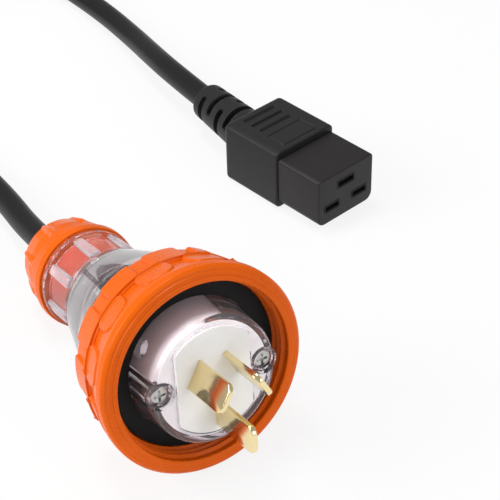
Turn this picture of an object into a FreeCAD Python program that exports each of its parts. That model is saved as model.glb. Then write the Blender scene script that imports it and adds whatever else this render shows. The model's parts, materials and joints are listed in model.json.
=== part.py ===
"""C19 power lead: a moulded C19 connector, its cord wound for storage, and a sealed flat-pin plug."""
import FreeCAD, Part
import math
import os
import Sketcher
from FreeCAD import Placement, Rotation, Vector

# ---------------------------------------------------------------- sizes, all in millimetres and degrees
SIZES = [
    # the connector's hard nose and its contact slots
    ("nose_length", 21.3), ("nose_width", 28.0), ("nose_height", 20.0), ("nose_corner", 3.2),
    ("nose_top_corner", 1.2), ("nose_tail", 10.0), ("tail_inset", 3.0), ("front_wall", 2.0),
    ("slot_width", 7.2), ("slot_height", 2.4), ("slot_spacing", 14.0), ("slot_drop", 3.5),
    ("earth_slot_width", 8.2), ("earth_slot_height", 2.6), ("earth_slot_rise", 4.5),
    ("frame_rim", 0.5), ("frame_rise", 0.25),
    # contacts and cores inside the connector
    ("contact_wall", 0.6), ("contact_length", 15.0), ("contact_gap", 0.15), ("crimp_length", 6.0),
    ("crimp_radius", 1.7), ("core_radius", 1.6), ("core_pitch", 2.1), ("core_gap", 0.9),
    # the connector's boot and strain relief
    ("boot_length", 28.9), ("boot_width", 29.4), ("boot_height", 24.5), ("boot_corner", 2.4),
    ("nose_drop", 0.4), ("relief_length", 33.9), ("relief_root", 8.9), ("relief_tip", 7.3),
    ("relief_yaw", 8.7), ("relief_slots", 4.0), ("relief_slot_width", 2.4), ("relief_slot_pitch", 6.1),
    ("relief_slot_start", 6.2),
    ("relief_web", 1.2), ("relief_slot_angle", 130.0), ("relief_slot_turn", 107.0), ("grip_grooves", 3.0),
    ("grip_width", 1.8), ("grip_pitch", 4.4), ("grip_depth", 0.8), ("grip_margin", 3.9), ("grip_side", 6.7),
    ("panel_length", 8.3), ("panel_margin", 2.6), ("panel_side", 6.4), ("panel_line", 0.5), ("panel_depth", 0.3),
    # the cord, its coil and the tie round it
    ("cord_diameter", 9.5), ("coil_x", -257.0), ("coil_y", -30.0), ("coil_strands_across", 3.0),
    ("coil_strands_high", 2.0), ("coil_radius", 52.5), ("coil_tail", 6.0), ("cord_straight", 22.0),
    ("tie_width", 16.0), ("tie_thickness", 0.8), ("rest_gap", 0.02),
    # where the plug lies
    ("plug_x", 98.9), ("plug_y", -117.2), ("plug_yaw", -10.5), ("plug_roll", -4.4),
    # the coupling ring
    ("ring_length", 28.0), ("ring_lip_radius", 33.5), ("ring_lip_length", 3.4), ("lip_step", 0.8),
    ("ring_waist_radius", 30.2), ("ring_rear_radius", 30.7), ("ring_tail_radius", 29.1),
    ("ring_edge_radius", 26.8), ("ring_edge_round", 2.6), ("ring_ledge", 14.6), ("thread_crest_radius", 27.4),
    ("thread_root_radius", 28.8), ("thread_pitch", 2.3), ("thread_mouth", 1.6), ("ring_inner_radius", 27.6),
    ("ring_flange", 3.8), ("journal_radius", 22.4), ("running_gap", 0.08), ("end_gap", 0.3),
    ("pad_count", 12.0), ("pad_angle", 19.0), ("pad_rise", 0.9), ("pad_margin", 0.8), ("sector_root", 1.5),
    ("tongue_angle", 18.0), ("tongue_rise", 1.2), ("tongue_length", 8.2), ("tongue_sink", 0.1),
    # the clear front cap, its gasket and screws
    ("face_proud", 5.2), ("cap_radius", 20.3), ("cap_draft", 1.1), ("cap_wall", 1.9), ("cap_skirt_radius", 27.0),
    ("gasket_depth", 7.4), ("gasket_thickness", 2.0), ("gasket_gap", 0.1), ("skirt_wall", 2.2),
    ("neck_wall", 2.0), ("boss_radius", 4.3), ("screw_offset", 17.2), ("screw_head_radius", 3.0),
    ("screw_head_height", 1.8), ("screw_radius", 1.5), ("screw_recess", 2.0), ("screw_clearance", 0.15),
    ("screw_length", 44.0), ("cross_length", 3.4), ("cross_width", 0.7), ("cross_depth", 1.0),
    # the pin carrier and the pins
    ("insert_half_width", 12.2), ("insert_radius", 16.8), ("insert_gap", 0.12), ("carrier_gap", 0.2),
    ("carrier_base", 6.5), ("carrier_length", 24.0), ("carrier_wall", 1.8), ("pin_width", 9.08),
    ("pin_thickness", 1.63), ("pin_reach", 18.3), ("earth_reach", 21.1), ("pin_x", 6.2), ("pin_y", 3.96),
    ("earth_y", -10.31), ("pin_slant", 30.0), ("pin_nose", 2.6), ("tunnel_radius", 3.0), ("tunnel_length", 9.0),
    ("wire_radius", 0.9), ("clamp_thread", 1.3), ("terminal_screw_length", 5.0),
    # the clear rear shell
    ("shell_flange_radius", 25.8), ("shell_flange", 2.6), ("shell_end", 61.0), ("shell_end_radius", 16.6),
    ("shell_wall", 2.1), ("collar_radius", 15.8), ("collar_neck", 3.0), ("collar_end", 79.0), ("rim_radius", 17.2),
    ("rim_length", 3.2), ("spigot_radius", 12.9), ("thread_gap", 0.15), ("seat_front", 55.0),
    ("seat_radius", 10.2), ("seat_wall", 1.6), ("register_wall", 1.8), ("register_length", 3.8),
    ("register_gap", 0.2), ("pillar_radius", 2.9), ("pillar_length", 16.0), ("seal_groove", 1.0),
    ("seal_width", 1.8), ("seal_margin", 1.1),
    # the gland nut and what it squeezes
    ("nut_length", 24.8), ("nut_radius", 17.9), ("nut_lip", 3.0), ("nut_tail_radius", 14.1),
    ("nut_mouth_radius", 10.6), ("nut_dome", 4.0), ("scallops", 8.0), ("scallop_radius", 12.0),
    ("scallop_depth", 1.2), ("scallop_flare", 1.5),
    ("spigot_length", 15.2), ("spigot_bore", 9.0), ("cord_gap", 0.15), ("washer_thickness", 1.0),
    ("washer_gap", 0.3), ("seal_gap", 0.2),
    # the cord clamp inside the rear shell
    ("clamp_station", 49.0), ("clamp_length", 5.5), ("clamp_half_width", 9.5), ("clamp_bar", 3.0),
    ("clamp_bite", 0.3), ("clamp_screw_offset", 7.2), ("clamp_screw_radius", 1.2), ("clamp_head_radius", 2.4),
    ("clamp_head_height", 1.6), ("clamp_screw_length", 11.0), ("sheath_end", 43.0),
]

doc = FreeCAD.newDocument("c19_power_lead")
sheet = doc.addObject("Spreadsheet::Sheet", "sizes")
for row, (alias, number) in enumerate(SIZES, start=1):
    sheet.set("A%d" % row, alias)
    sheet.set("B%d" % row, str(number))
    sheet.setAlias("B%d" % row, alias)
doc.recompute()
parts = []


def value(text):
    """The number that an expression on the sheet's sizes gives."""
    return float(sheet.evalExpression(text))


def sized(text):
    """The same expression, written for an object outside the sheet."""
    words = {alias for alias, number in SIZES}
    out, word = "", ""
    for letter in text + " ":
        if letter.isalnum() or letter == "_":
            word += letter
            continue
        out += ("sizes." + word if word in words else word) + letter
        word = ""
    return out.strip()


def bind(thing, **sizes):
    """Tie an object's properties to expressions on the sheet."""
    for prop, text in sizes.items():
        thing.setExpression(prop, sized(text))
    return thing


def keep(thing, name, placement=None):
    """Count an object as a finished piece, under its own name."""
    thing.Label = name
    if placement is not None:
        thing.Placement = placement * thing.Placement
    parts.append(thing)
    return thing


# ---------------------------------------------------------------- ways of making a piece
def body(name):
    return doc.addObject("PartDesign::Body", name + "_body")


def plane(owner, role):
    return [item for item in owner.Origin.OriginFeatures if item.Role == role][0]


def outline(owner, name, points, role="XZ_Plane"):
    """A closed sketch of straight sides, each corner held by two expressions."""
    sketch = owner.newObject("Sketcher::SketchObject", name)
    sketch.AttachmentSupport = [(plane(owner, role), "")]
    sketch.MapMode = "FlatFace"
    corners = [Vector(value(x), value(y), 0) for x, y in points]
    count = len(corners)
    for i in range(count):
        sketch.addGeometry(Part.LineSegment(corners[i], corners[(i + 1) % count]), False)
    for i in range(count):
        sketch.addConstraint(Sketcher.Constraint("Coincident", i, 2, (i + 1) % count, 1))
    for i, (x, y) in enumerate(points):
        for kind, text in (("DistanceX", x), ("DistanceY", y)):
            number = sketch.addConstraint(Sketcher.Constraint(kind, -1, 1, i, 1, value(text)))
            sketch.setExpression("Constraints[%d]" % number, sized(text))
    return sketch


def turned(name, points):
    """A solid turned about X from an outline of (x, radius) corners."""
    owner = body(name)
    sketch = outline(owner, name + "_outline", points)
    spin = owner.newObject("PartDesign::Revolution", name + "_turn")
    spin.Profile = sketch
    spin.ReferenceAxis = (sketch, ["H_Axis"])
    spin.Angle = 360
    sketch.Visibility = False
    doc.recompute()
    return owner


def add_sectors(owner, name, points, angle, count, first):
    """Raised sectors turned about X through part of a circle, in a ring of equal copies."""
    sketch = outline(owner, name + "_outline", points)
    sketch.AttachmentOffset = Placement(Vector(0, 0, 0), Rotation(Vector(1, 0, 0), first))
    spin = owner.newObject("PartDesign::Revolution", name + "_turn")
    spin.Profile = sketch
    spin.ReferenceAxis = (sketch, ["H_Axis"])
    spin.Midplane = True
    bind(spin, Angle=angle)
    doc.recompute()
    ring = owner.newObject("PartDesign::PolarPattern", name + "_ring")
    ring.Originals = [spin]
    ring.Axis = (plane(owner, "X_Axis"), [""])
    ring.Angle = 360
    bind(ring, Occurrences=count)
    owner.Tip = ring
    doc.recompute()
    return ring


def rounded(owner, name, radius, chosen):
    """Round the edges of a body that the test picks out."""
    doc.recompute()
    base = owner.Tip
    names = ["Edge%d" % i for i, edge in enumerate(base.Shape.Edges, start=1) if chosen(edge)]
    fillet = owner.newObject("PartDesign::Fillet", name)
    fillet.Base = (base, names)
    bind(fillet, Radius=radius)
    owner.Tip = fillet
    doc.recompute()
    return fillet


def box(name, x, y, z):
    """A box between pairs of expressions, low then high, along X, Y and Z."""
    block = doc.addObject("Part::Box", name)
    bind(block, Length="(%s) - (%s)" % (x[1], x[0]), Width="(%s) - (%s)" % (y[1], y[0]),
         Height="(%s) - (%s)" % (z[1], z[0]))
    bind(block, **{".Placement.Base.x": x[0], ".Placement.Base.y": y[0], ".Placement.Base.z": z[0]})
    return block


def rod(name, x, radius, y="0", z="0"):
    """A round bar along X between two expressions."""
    bar = doc.addObject("Part::Cylinder", name)
    bar.Placement = Placement(Vector(0, 0, 0), Rotation(Vector(0, 1, 0), 90))
    bind(bar, Radius=radius, Height="(%s) - (%s)" % (x[1], x[0]))
    bind(bar, **{".Placement.Base.x": x[0], ".Placement.Base.y": y, ".Placement.Base.z": z})
    return bar


def link(name, start, end, radius):
    """A round bar from one place to another."""
    bar = doc.addObject("Part::Cylinder", name)
    bind(bar, Radius=radius)
    bar.Height = (end - start).Length
    bar.Placement = Placement(start, Rotation(Vector(0, 0, 1), end - start))
    return bar


def fused(name, pieces):
    whole = doc.addObject("Part::MultiFuse", name)
    whole.Shapes = pieces
    doc.recompute()
    return whole


def cut(name, base, tools):
    """One solid less others, which may be finished pieces that fit in it."""
    tool = tools[0] if len(tools) == 1 else fused(name + "_tools", tools)
    result = doc.addObject("Part::Cut", name)
    result.Base = base
    result.Tool = tool
    doc.recompute()
    return result


def group(name, pieces):
    whole = doc.addObject("Part::Compound", name)
    whole.Links = pieces
    doc.recompute()
    return whole


# ---------------------------------------------------------------- connector
RELIEF_REACH = "relief_length * cos(relief_yaw * 1 deg)"
REAR_END = "boot_length + %s + relief_tip * sin(relief_yaw * 1 deg)" % RELIEF_REACH
STEP = "((%s) - nose_length) / 2" % REAR_END
NOSE_LOW = "(boot_height - nose_height) / 2 - nose_drop"
MID = "boot_height / 2"
CENTRE = NOSE_LOW + " + nose_height / 2"
CONTACTS = {
    "contact_live": ("slot_spacing / 2", CENTRE + " - slot_drop", "slot_width", "slot_height"),
    "contact_neutral": ("-slot_spacing / 2", CENTRE + " - slot_drop", "slot_width", "slot_height"),
    "contact_earth": ("0", CENTRE + " + earth_slot_rise", "earth_slot_width", "earth_slot_height"),
}
step_x = value(STEP)
nose_low = value(NOSE_LOW)
mid_z = value(MID)


def at_step(text):
    return "(%s) + (%s)" % (STEP, text)


def nose(cores):
    """Hard insert: a rounded block with a narrower tail in the boot, and three contact chambers."""
    owner = body("nose")
    half = "nose_width / 2"
    sketch = outline(owner, "nose_section", [("-" + half, NOSE_LOW), (half, NOSE_LOW),
                     (half, NOSE_LOW + " + nose_height"), ("-" + half, NOSE_LOW + " + nose_height")], "YZ_Plane")
    bind(sketch, **{".AttachmentOffset.Base.z": STEP})
    pad = owner.newObject("PartDesign::Pad", "nose_block")
    pad.Profile = sketch
    bind(pad, Length="nose_length")
    doc.recompute()

    def long_edge(edge, low):
        room = edge.BoundBox
        return room.XLength > value("nose_length") - 0.1 and (room.Center.z < mid_z) == low

    rounded(owner, "nose_low_corners", "nose_corner", lambda edge: long_edge(edge, True))
    rounded(owner, "nose_top_corners", "nose_top_corner", lambda edge: long_edge(edge, False))
    tail = box("nose_tail_block", (at_step("-nose_tail"), STEP),
               ("tail_inset - nose_width / 2", "nose_width / 2 - tail_inset"),
               (NOSE_LOW + " + tail_inset", NOSE_LOW + " + nose_height - tail_inset"))
    frames, holes = [], []
    for name, place in CONTACTS.items():
        y, z, wide, high = place
        frames.append(box(name + "_frame", (at_step("nose_length"), at_step("nose_length + frame_rise")),
                      ("%s - %s / 2 - frame_rim" % (y, wide), "%s + %s / 2 + frame_rim" % (y, wide)),
                      ("%s - %s / 2 - frame_rim" % (z, high), "%s + %s / 2 + frame_rim" % (z, high))))
        holes.append(box(name + "_slot", (at_step("nose_length - front_wall"), at_step("nose_length + 1")),
                     ("%s - %s / 2" % (y, wide), "%s + %s / 2" % (y, wide)),
                     ("%s - %s / 2" % (z, high), "%s + %s / 2" % (z, high))))
        grow = "(contact_wall + contact_gap)"
        holes.append(box(name + "_chamber", (at_step("-nose_tail"), at_step("nose_length - front_wall")),
                     ("%s - %s / 2 - %s" % (y, wide, grow), "%s + %s / 2 + %s" % (y, wide, grow)),
                     ("%s - %s / 2 - %s" % (z, high, grow), "%s + %s / 2 + %s" % (z, high, grow))))
    whole = fused("nose_whole", [owner, tail] + frames)
    keep(cut("nose_cut", whole, holes + cores), "connector_nose")


def contact(name, place):
    """Folded female contact: a flat box that grips the mating pin, with a crimp barrel behind."""
    y, z, wide, high = place
    front = at_step("nose_length - front_wall - contact_gap")
    back = at_step("nose_length - front_wall - contact_gap - contact_length")
    outer = box(name + "_outer", (back, front),
                ("%s - %s / 2 - contact_wall" % (y, wide), "%s + %s / 2 + contact_wall" % (y, wide)),
                ("%s - %s / 2 - contact_wall" % (z, high), "%s + %s / 2 + contact_wall" % (z, high)))
    inner = box(name + "_inner", (back + " + contact_wall", front + " + 1"),
                ("%s - %s / 2" % (y, wide), "%s + %s / 2" % (y, wide)),
                ("%s - %s / 2" % (z, high), "%s + %s / 2" % (z, high)))
    crimp = rod(name + "_crimp", (back + " - crimp_length", back + " + contact_wall / 2"), "crimp_radius", y, z)
    shell_ = cut(name + "_box", outer, [inner])
    return keep(fused(name + "_whole", [shell_, crimp]), name)


def connector():
    """The connector's pieces, and where and which way its cord leaves the strain relief."""
    contacts = [contact(name, place) for name, place in CONTACTS.items()]
    yaw = math.radians(value("relief_yaw"))
    aim = Vector(-math.cos(yaw), math.sin(yaw), 0)
    root = Vector(step_x - value("boot_length"), 0, mid_z)
    tip = root + aim * value("relief_length")
    sheath = keep(link("connector_sheath_bar", root, tip, "cord_diameter / 2"), "connector_sheath")
    crimp_x = value(at_step("nose_length - front_wall - contact_gap - contact_length - crimp_length - core_gap"))
    cores = []
    for (name, place), angle in zip(CONTACTS.items(), (-30, 210, 90)):
        turn = math.radians(angle)
        start = root - aim * value("core_gap") + Vector(0, math.cos(turn), math.sin(turn)) * value("core_pitch")
        end = Vector(crimp_x, value(place[0]), value(place[1]))
        core = link(name.replace("contact", "core") + "_bar", start, end, "core_radius")
        cores.append(keep(core, name.replace("contact", "connector_core")))
    nose(cores)
    overmould(root, aim, contacts + cores + [sheath])
    return tip, aim


def overmould(root, aim, inside):
    """Soft boot and strain relief in one moulding round the nose's tail, the contacts and the cores."""
    owner = body("boot")
    half = "boot_width / 2"
    sketch = outline(owner, "boot_section", [("-" + half, "0"), (half, "0"), (half, "boot_height"),
                                             ("-" + half, "boot_height")], "YZ_Plane")
    bind(sketch, **{".AttachmentOffset.Base.z": at_step("-boot_length")})
    pad = owner.newObject("PartDesign::Pad", "boot_block")
    pad.Profile = sketch
    bind(pad, Length="boot_length")
    rounded(owner, "boot_corners", "boot_corner",
            lambda edge: edge.BoundBox.XMin < step_x - value("boot_length") + 0.1)
    lean = Rotation(Vector(0, 0, 1), aim)
    relief = doc.addObject("Part::Cone", "relief_cone")
    bind(relief, Radius1="relief_root", Radius2="relief_tip")
    sunk = value("boot_corner")
    relief.Height = value("relief_length") + sunk
    relief.Placement = Placement(root - aim * sunk, lean)
    slots = []
    for row in range(round(value("relief_slots"))):
        place = root + aim * (value("relief_slot_start") + row * value("relief_slot_pitch"))
        for side in (0, 180):
            sector = doc.addObject("Part::Cylinder", "relief_slot")
            bind(sector, Radius="relief_root * 1.5", Height="relief_slot_width", Angle="relief_slot_angle")
            turn = side + value("relief_slot_turn") + 90 * (row % 2)
            sector.Placement = Placement(place, lean * Rotation(Vector(0, 0, 1), turn))
            slots.append(sector)
    spine = link("relief_spine", root, root + aim * value("relief_length"), "cord_diameter / 2 + relief_web")
    slotted = cut("relief_slotted", relief, [cut("relief_slots_cut", fused("relief_slot_set", slots), [spine])])
    whole = fused("overmould_whole", [owner, slotted])
    back = at_step("-boot_length")
    grooves = []
    for i in range(round(value("grip_grooves"))):
        start = "%s + grip_margin + %d * grip_pitch" % (back, i)
        grooves.append(box("grip", (start, start + " + grip_width"),
                           ("grip_side - %s" % half, half + " - grip_side"),
                           ("boot_height - grip_depth", "boot_height + 1")))
    panel = (back + " + boot_length - panel_margin - panel_length", back + " + boot_length - panel_margin")
    rim = box("panel_outer", panel, ("panel_side - " + half, half + " - panel_side"),
              ("boot_height - panel_depth", "boot_height + 1"))
    field = box("panel_field", (panel[0] + " + panel_line", panel[1] + " - panel_line"),
                ("panel_side + panel_line - " + half, half + " - panel_side - panel_line"),
                ("boot_height - panel_depth - 1", "boot_height + 2"))
    tail = doc.getObject("nose_tail_block")
    keep(cut("overmould_cut", whole, grooves + [cut("panel_groove", rim, [field]), tail] + inside),
         "connector_overmould")


# ---------------------------------------------------------------- cord
def tube(name, points):
    """A bar bent along straight runs joined by tangent arcs, each arc as large as its runs allow."""
    radius = value("cord_diameter") / 2
    edges, here, radii = [], points[0], []
    for before, corner, after in zip(points, points[1:], points[2:]):
        into, out = (corner - before), (after - corner)
        shorter = min(into.Length, out.Length)
        turn = into.getAngle(out)
        reach = 0.45 * shorter
        radii.append(reach / math.tan(turn / 2))
        into.normalize()
        out.normalize()
        first, last = corner - into * reach, corner + out * reach
        inward = out - into
        inward.normalize()
        rise = radii[-1] / math.cos(turn / 2) - radii[-1]
        edges.append(Part.LineSegment(here, first).toShape())
        edges.append(Part.Arc(first, corner + inward * rise, last).toShape())
        here = last
    edges.append(Part.LineSegment(here, points[-1]).toShape())
    path = Part.Wire(edges)
    section = Part.Wire([Part.makeCircle(radius, points[0], points[1] - points[0])])
    solid = path.makePipeShell([section], True, False)
    print(name, "radii", [round(r) for r in radii], "length %.1f" % path.Length,
          "volume ratio %.4f" % (solid.Volume / (path.Length * math.pi * radius ** 2)))
    piece = doc.addObject("Part::Feature", name + "_tube")
    piece.Shape = solid
    return keep(piece, name), path.Length


def coil():
    """The stored turns as one ring of their outer shape, with the two ends that leave it."""
    strand = "cord_diameter"
    wide, high = "coil_strands_across * %s / 2" % strand, "coil_strands_high * %s" % strand
    low, soft = "tie_thickness", "cord_diameter / 4"
    inner, outer = "coil_radius - " + wide, "coil_radius + " + wide
    points = [(inner + " + " + soft, low), (outer + " - " + soft, low), (outer, low + " + " + soft),
              (outer, low + " + %s - %s" % (high, soft)), (outer + " - " + soft, low + " + " + high),
              (inner + " + " + soft, low + " + " + high), (inner, low + " + %s - %s" % (high, soft)),
              (inner, low + " + " + soft)]
    centre = Placement(Vector(value("coil_x"), value("coil_y"), 0), Rotation())
    ring = spun("coil_ring", points, "360")
    ring.Placement = centre
    outer_strand = value(outer) - value(strand) / 2
    reach = math.sqrt(value(outer) ** 2 - (outer_strand - value(strand) / 2) ** 2) + value("coil_tail")
    low_z = value(low) + value(strand) / 2
    high_z = low_z + value(strand) * (value("coil_strands_high") - 1)
    ends = []
    for name, side, z in (("coil_way_in", 1, low_z), ("coil_way_out", -1, high_z)):
        start = centre.Base + Vector(0, side * outer_strand, z)
        end = start + Vector(reach, 0, 0)
        ends.append((link(name, start, end, "cord_diameter / 2"), end))
    whole = keep(fused("coil_whole", [ring] + [bar for bar, end in ends]), "cord_coil")
    grip = "tie_thickness"
    band = spun("tie_band", [(inner + " - " + grip, "0"), (outer + " + " + grip, "0"),
                             (outer + " + " + grip, low + " + %s + %s" % (high, grip)),
                             (inner + " - " + grip, low + " + %s + %s" % (high, grip))],
                "tie_width / coil_radius * 180 / pi")
    band.Placement = centre * Placement(Vector(0, 0, 0), Rotation(Vector(0, 0, 1), 180))
    keep(cut("tie_cut", band, [ring]), "cord_tie")
    return [end for bar, end in ends]


def spun(name, points, angle):
    """A solid turned about Z through an angle centred on +X, from an outline of (radius, height)."""
    owner = body(name)
    sketch = outline(owner, name + "_outline", points)
    spin = owner.newObject("PartDesign::Revolution", name + "_turn")
    spin.Profile = sketch
    spin.ReferenceAxis = (sketch, ["V_Axis"])
    spin.Midplane = True
    bind(spin, Angle=angle)
    doc.recompute()
    return owner


# ---------------------------------------------------------------- plug
RING_BORE = "journal_radius + running_gap"
SHOULDER = "-(ring_length - ring_flange - end_gap)"
SHELL_FRONT = "-(ring_length + end_gap)"
PLATE = "face_proud - cap_wall"
CAP_BORE = "cap_radius - cap_wall"
CARRIER_R = "cap_radius - cap_wall - carrier_gap"
REGISTER_R = "journal_radius - neck_wall - register_gap"
NUT_FRONT = "-collar_end"
SEAT_BACK = "-(seat_front + seat_wall)"
THREAD_R = "spigot_radius + thread_gap"
HEAD_TOP = "face_proud - screw_recess"


def plug_placement():
    """The plug lies on the ring's rear pads and on the lip of its gland nut."""
    ring_x, ring_r = value("-(ring_length - ring_edge_round - pad_margin)"), value("ring_tail_radius + pad_rise")
    nut_x, nut_r = value("-(collar_end + nut_lip)"), value("nut_radius")
    tilt = math.atan2(ring_r - nut_r, ring_x - nut_x)
    height = ring_r * math.cos(tilt) - ring_x * math.sin(tilt) + value("rest_gap")
    turn = (Rotation(Vector(0, 0, 1), value("plug_yaw")) * Rotation(Vector(0, 1, 0), -math.degrees(tilt))
            * Rotation(Vector(1, 0, 0), value("plug_roll")))
    return Placement(Vector(value("plug_x"), value("plug_y"), height), turn)


def coupling_ring(lie):
    """Coupling ring: stepped lip, coarse inner thread, waist with tongues, and a padded rear tier."""
    crests = []
    for i in range(3):
        crests += [("-(thread_mouth + %d * thread_pitch)" % i, "thread_root_radius"),
                   ("-(thread_mouth + %.1f * thread_pitch)" % (i + 0.5), "thread_crest_radius")]
    back = "-ring_length"
    rear = "-(ring_length - ring_edge_round)"
    points = [("0", "thread_root_radius"), ("0", "ring_lip_radius - 2 * lip_step"),
              ("-lip_step / 2", "ring_lip_radius - 2 * lip_step"),
              ("-lip_step / 2", "ring_lip_radius - lip_step"),
              ("-lip_step", "ring_lip_radius - lip_step / 2"), ("-2 * lip_step", "ring_lip_radius"),
              ("-(lip_step + ring_lip_length)", "ring_lip_radius"), ("-ring_ledge", "ring_waist_radius"),
              ("-ring_ledge", "ring_rear_radius"), (rear, "ring_tail_radius"), (back, "ring_edge_radius"),
              (back, RING_BORE), (back + " + ring_flange", RING_BORE),
              (back + " + ring_flange", "ring_inner_radius"),
              ("-(thread_mouth + 3 * thread_pitch)", "ring_inner_radius")] + crests[::-1]
    owner = turned("ring", points)
    front, rear = "-(ring_ledge + pad_margin)", rear + " + pad_margin"
    add_sectors(owner, "pads", [(front, "ring_rear_radius - sector_root"), (front, "ring_rear_radius + pad_rise"),
                                (rear, "ring_tail_radius + pad_rise"), (rear, "ring_tail_radius - sector_root")],
                "pad_angle", "pad_count", 0)
    front, rear = "-(ring_ledge - tongue_length)", "-ring_ledge"
    add_sectors(owner, "tongues", [(rear, "ring_waist_radius - sector_root"),
                                   (rear, "ring_waist_radius + tongue_rise"),
                                   (front, "ring_lip_radius - tongue_sink"),
                                   (front, "ring_waist_radius - sector_root")],
                "tongue_angle", "pad_count", 180 / value("pad_count"))
    keep(owner, "coupling_ring", lie)


def at_pin(name):
    """Across and up places of a pin, its blade's angle and its reach."""
    return {"pin_active": ("pin_x", "pin_y", 90 + value("pin_slant"), "pin_reach"),
            "pin_neutral": ("-pin_x", "pin_y", 90 - value("pin_slant"), "pin_reach"),
            "pin_earth": ("0", "earth_y", 90, "earth_reach")}[name]


PINS = ("pin_active", "pin_neutral", "pin_earth")
BASE_BACK = PLATE + " - carrier_base"


def pin(name, lie):
    """Flat pin with a rounded nose, and its terminal tunnel behind the carrier's base."""
    y, z, angle, reach = at_pin(name)
    owner = body(name)
    tip = "face_proud + " + reach
    sketch = outline(owner, name + "_blade", [(BASE_BACK, "-pin_width / 2"), (tip, "-pin_width / 2"),
                                              (tip, "pin_width / 2"), (BASE_BACK, "pin_width / 2")], "XY_Plane")
    pad = owner.newObject("PartDesign::Pad", name + "_pad")
    pad.Profile = sketch
    pad.Midplane = True
    bind(pad, Length="pin_thickness")
    end = value(tip)
    rounded(owner, name + "_nose", "pin_nose",
            lambda edge: edge.BoundBox.XMin > end - 0.01 and edge.BoundBox.YLength < 0.01)
    owner.Placement = Placement(Vector(0, value(y), value(z)), Rotation(Vector(1, 0, 0), angle))
    tunnel = rod(name + "_tunnel", (BASE_BACK + " - tunnel_length", BASE_BACK), "tunnel_radius", y, z)
    bore = rod(name + "_bore", (BASE_BACK + " - tunnel_length - 1", BASE_BACK + " - 2"), "wire_radius", y, z)
    hole = radial(name + "_tapping", y, z, "clamp_thread", 0, value("tunnel_radius") + 1)
    return keep(cut(name + "_cut", fused(name + "_whole", [owner, tunnel]), [bore, hole]), name, lie)


def radial(name, y, z, radius, low, high):
    """A round bar through a terminal, square to the plug's axis and pointing outwards."""
    out = Vector(0, value(y), value(z))
    out.normalize()
    middle = Vector(value(BASE_BACK + " - tunnel_length / 2"), value(y), value(z))
    return link(name, middle + out * low, middle + out * high, radius)


def terminal_screws(lie):
    screws = []
    for name in PINS:
        y, z = at_pin(name)[:2]
        low = value("wire_radius")
        screws.append(radial(name + "_screw", y, z, "clamp_thread", low, low + value("terminal_screw_length")))
    keep(group("terminal_screw_set", screws), "terminal_screws", lie)


def flat_sided(name, front, back, radius, half):
    """A disc with two flat sides, along X."""
    disc = rod(name + "_disc", (back, front), radius)
    slab = box(name + "_slab", (back, front), ("-(%s)" % half, half), ("-(%s)" % radius, radius))
    both = doc.addObject("Part::Common", name)
    both.Base, both.Tool = disc, slab
    doc.recompute()
    return both


def pair(name, x, radius):
    """Two round bars at the front screws' places."""
    return [rod(name, x, radius, side + "screw_offset") for side in ("", "-")]


def carrier(lie):
    """Pin carrier: a cup whose raised face fills the cap's window, notched for the screw bosses."""
    cup = turned("carrier", [(PLATE, "0"), (PLATE, CARRIER_R), (PLATE + " - carrier_length", CARRIER_R),
                             (PLATE + " - carrier_length", CARRIER_R + " - carrier_wall"),
                             (BASE_BACK, CARRIER_R + " - carrier_wall"), (BASE_BACK, "0")])
    face = flat_sided("insert", "face_proud", PLATE + " - 1", "insert_radius", "insert_half_width")
    windows = []
    for name in PINS:
        y, z = at_pin(name)[:2]
        windows.append(radial(name + "_window", y, z, "tunnel_radius", value("tunnel_radius") + 1,
                              value("cap_radius")))
    notches = pair("carrier_notch", (PLATE + " - carrier_length - 1", "face_proud + 1"),
                   "boss_radius + carrier_gap")
    slots = []
    for name in PINS:
        y, z, angle, reach = at_pin(name)
        slot = doc.addObject("Part::Box", name + "_slot")
        bind(slot, Length="face_proud - (%s) + 2" % BASE_BACK, Width="pin_width", Height="pin_thickness")
        turn = Rotation(Vector(1, 0, 0), angle)
        corner = turn.multVec(Vector(0, -value("pin_width") / 2, -value("pin_thickness") / 2))
        slot.Placement = Placement(Vector(value(BASE_BACK) - 1, value(y), value(z)) + corner, turn)
        slots.append(slot)
    keep(cut("carrier_cut", fused("carrier_whole", [cup, face]), windows + notches + slots), "pin_carrier", lie)


def front_cap(lie):
    """Clear front cap: face plate and barrel, gasket flange, skirt, and the neck that the ring turns on."""
    root = "-(gasket_depth + gasket_thickness)"
    points = [("face_proud", "0"), ("face_proud", "cap_radius"), (root, "cap_radius + cap_draft"),
              (root, "cap_skirt_radius"), (SHOULDER, "cap_skirt_radius"), (SHOULDER, "journal_radius"),
              (SHELL_FRONT, "journal_radius"), (SHELL_FRONT, "journal_radius - neck_wall"),
              (SHOULDER + " + skirt_wall", "journal_radius - neck_wall"),
              (SHOULDER + " + skirt_wall", "cap_skirt_radius - skirt_wall"),
              (root + " - skirt_wall", "cap_skirt_radius - skirt_wall"), (root + " - skirt_wall", CAP_BORE),
              (PLATE, CAP_BORE), (PLATE, "0")]
    shell_ = turned("cap", points)
    boss_back = "%s + register_length + register_gap" % SHELL_FRONT
    bosses = pair("cap_boss", (boss_back, HEAD_TOP), "boss_radius")
    window = flat_sided("cap_window", "face_proud + 1", PLATE + " - 0.5", "insert_radius + insert_gap",
                        "insert_half_width + insert_gap")
    lobes = pair("cap_lobe", (HEAD_TOP, "face_proud + 1"), "boss_radius")
    heads = pair("cap_recess", (HEAD_TOP + " - screw_head_height", "face_proud + 1"),
                 "screw_head_radius + screw_clearance")
    holes = pair("cap_hole", (boss_back + " - 1", HEAD_TOP), "screw_radius + screw_clearance")
    keep(cut("cap_cut", fused("cap_whole", [shell_] + bosses), [window] + lobes + heads + holes),
         "plug_front_cap", lie)


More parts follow.
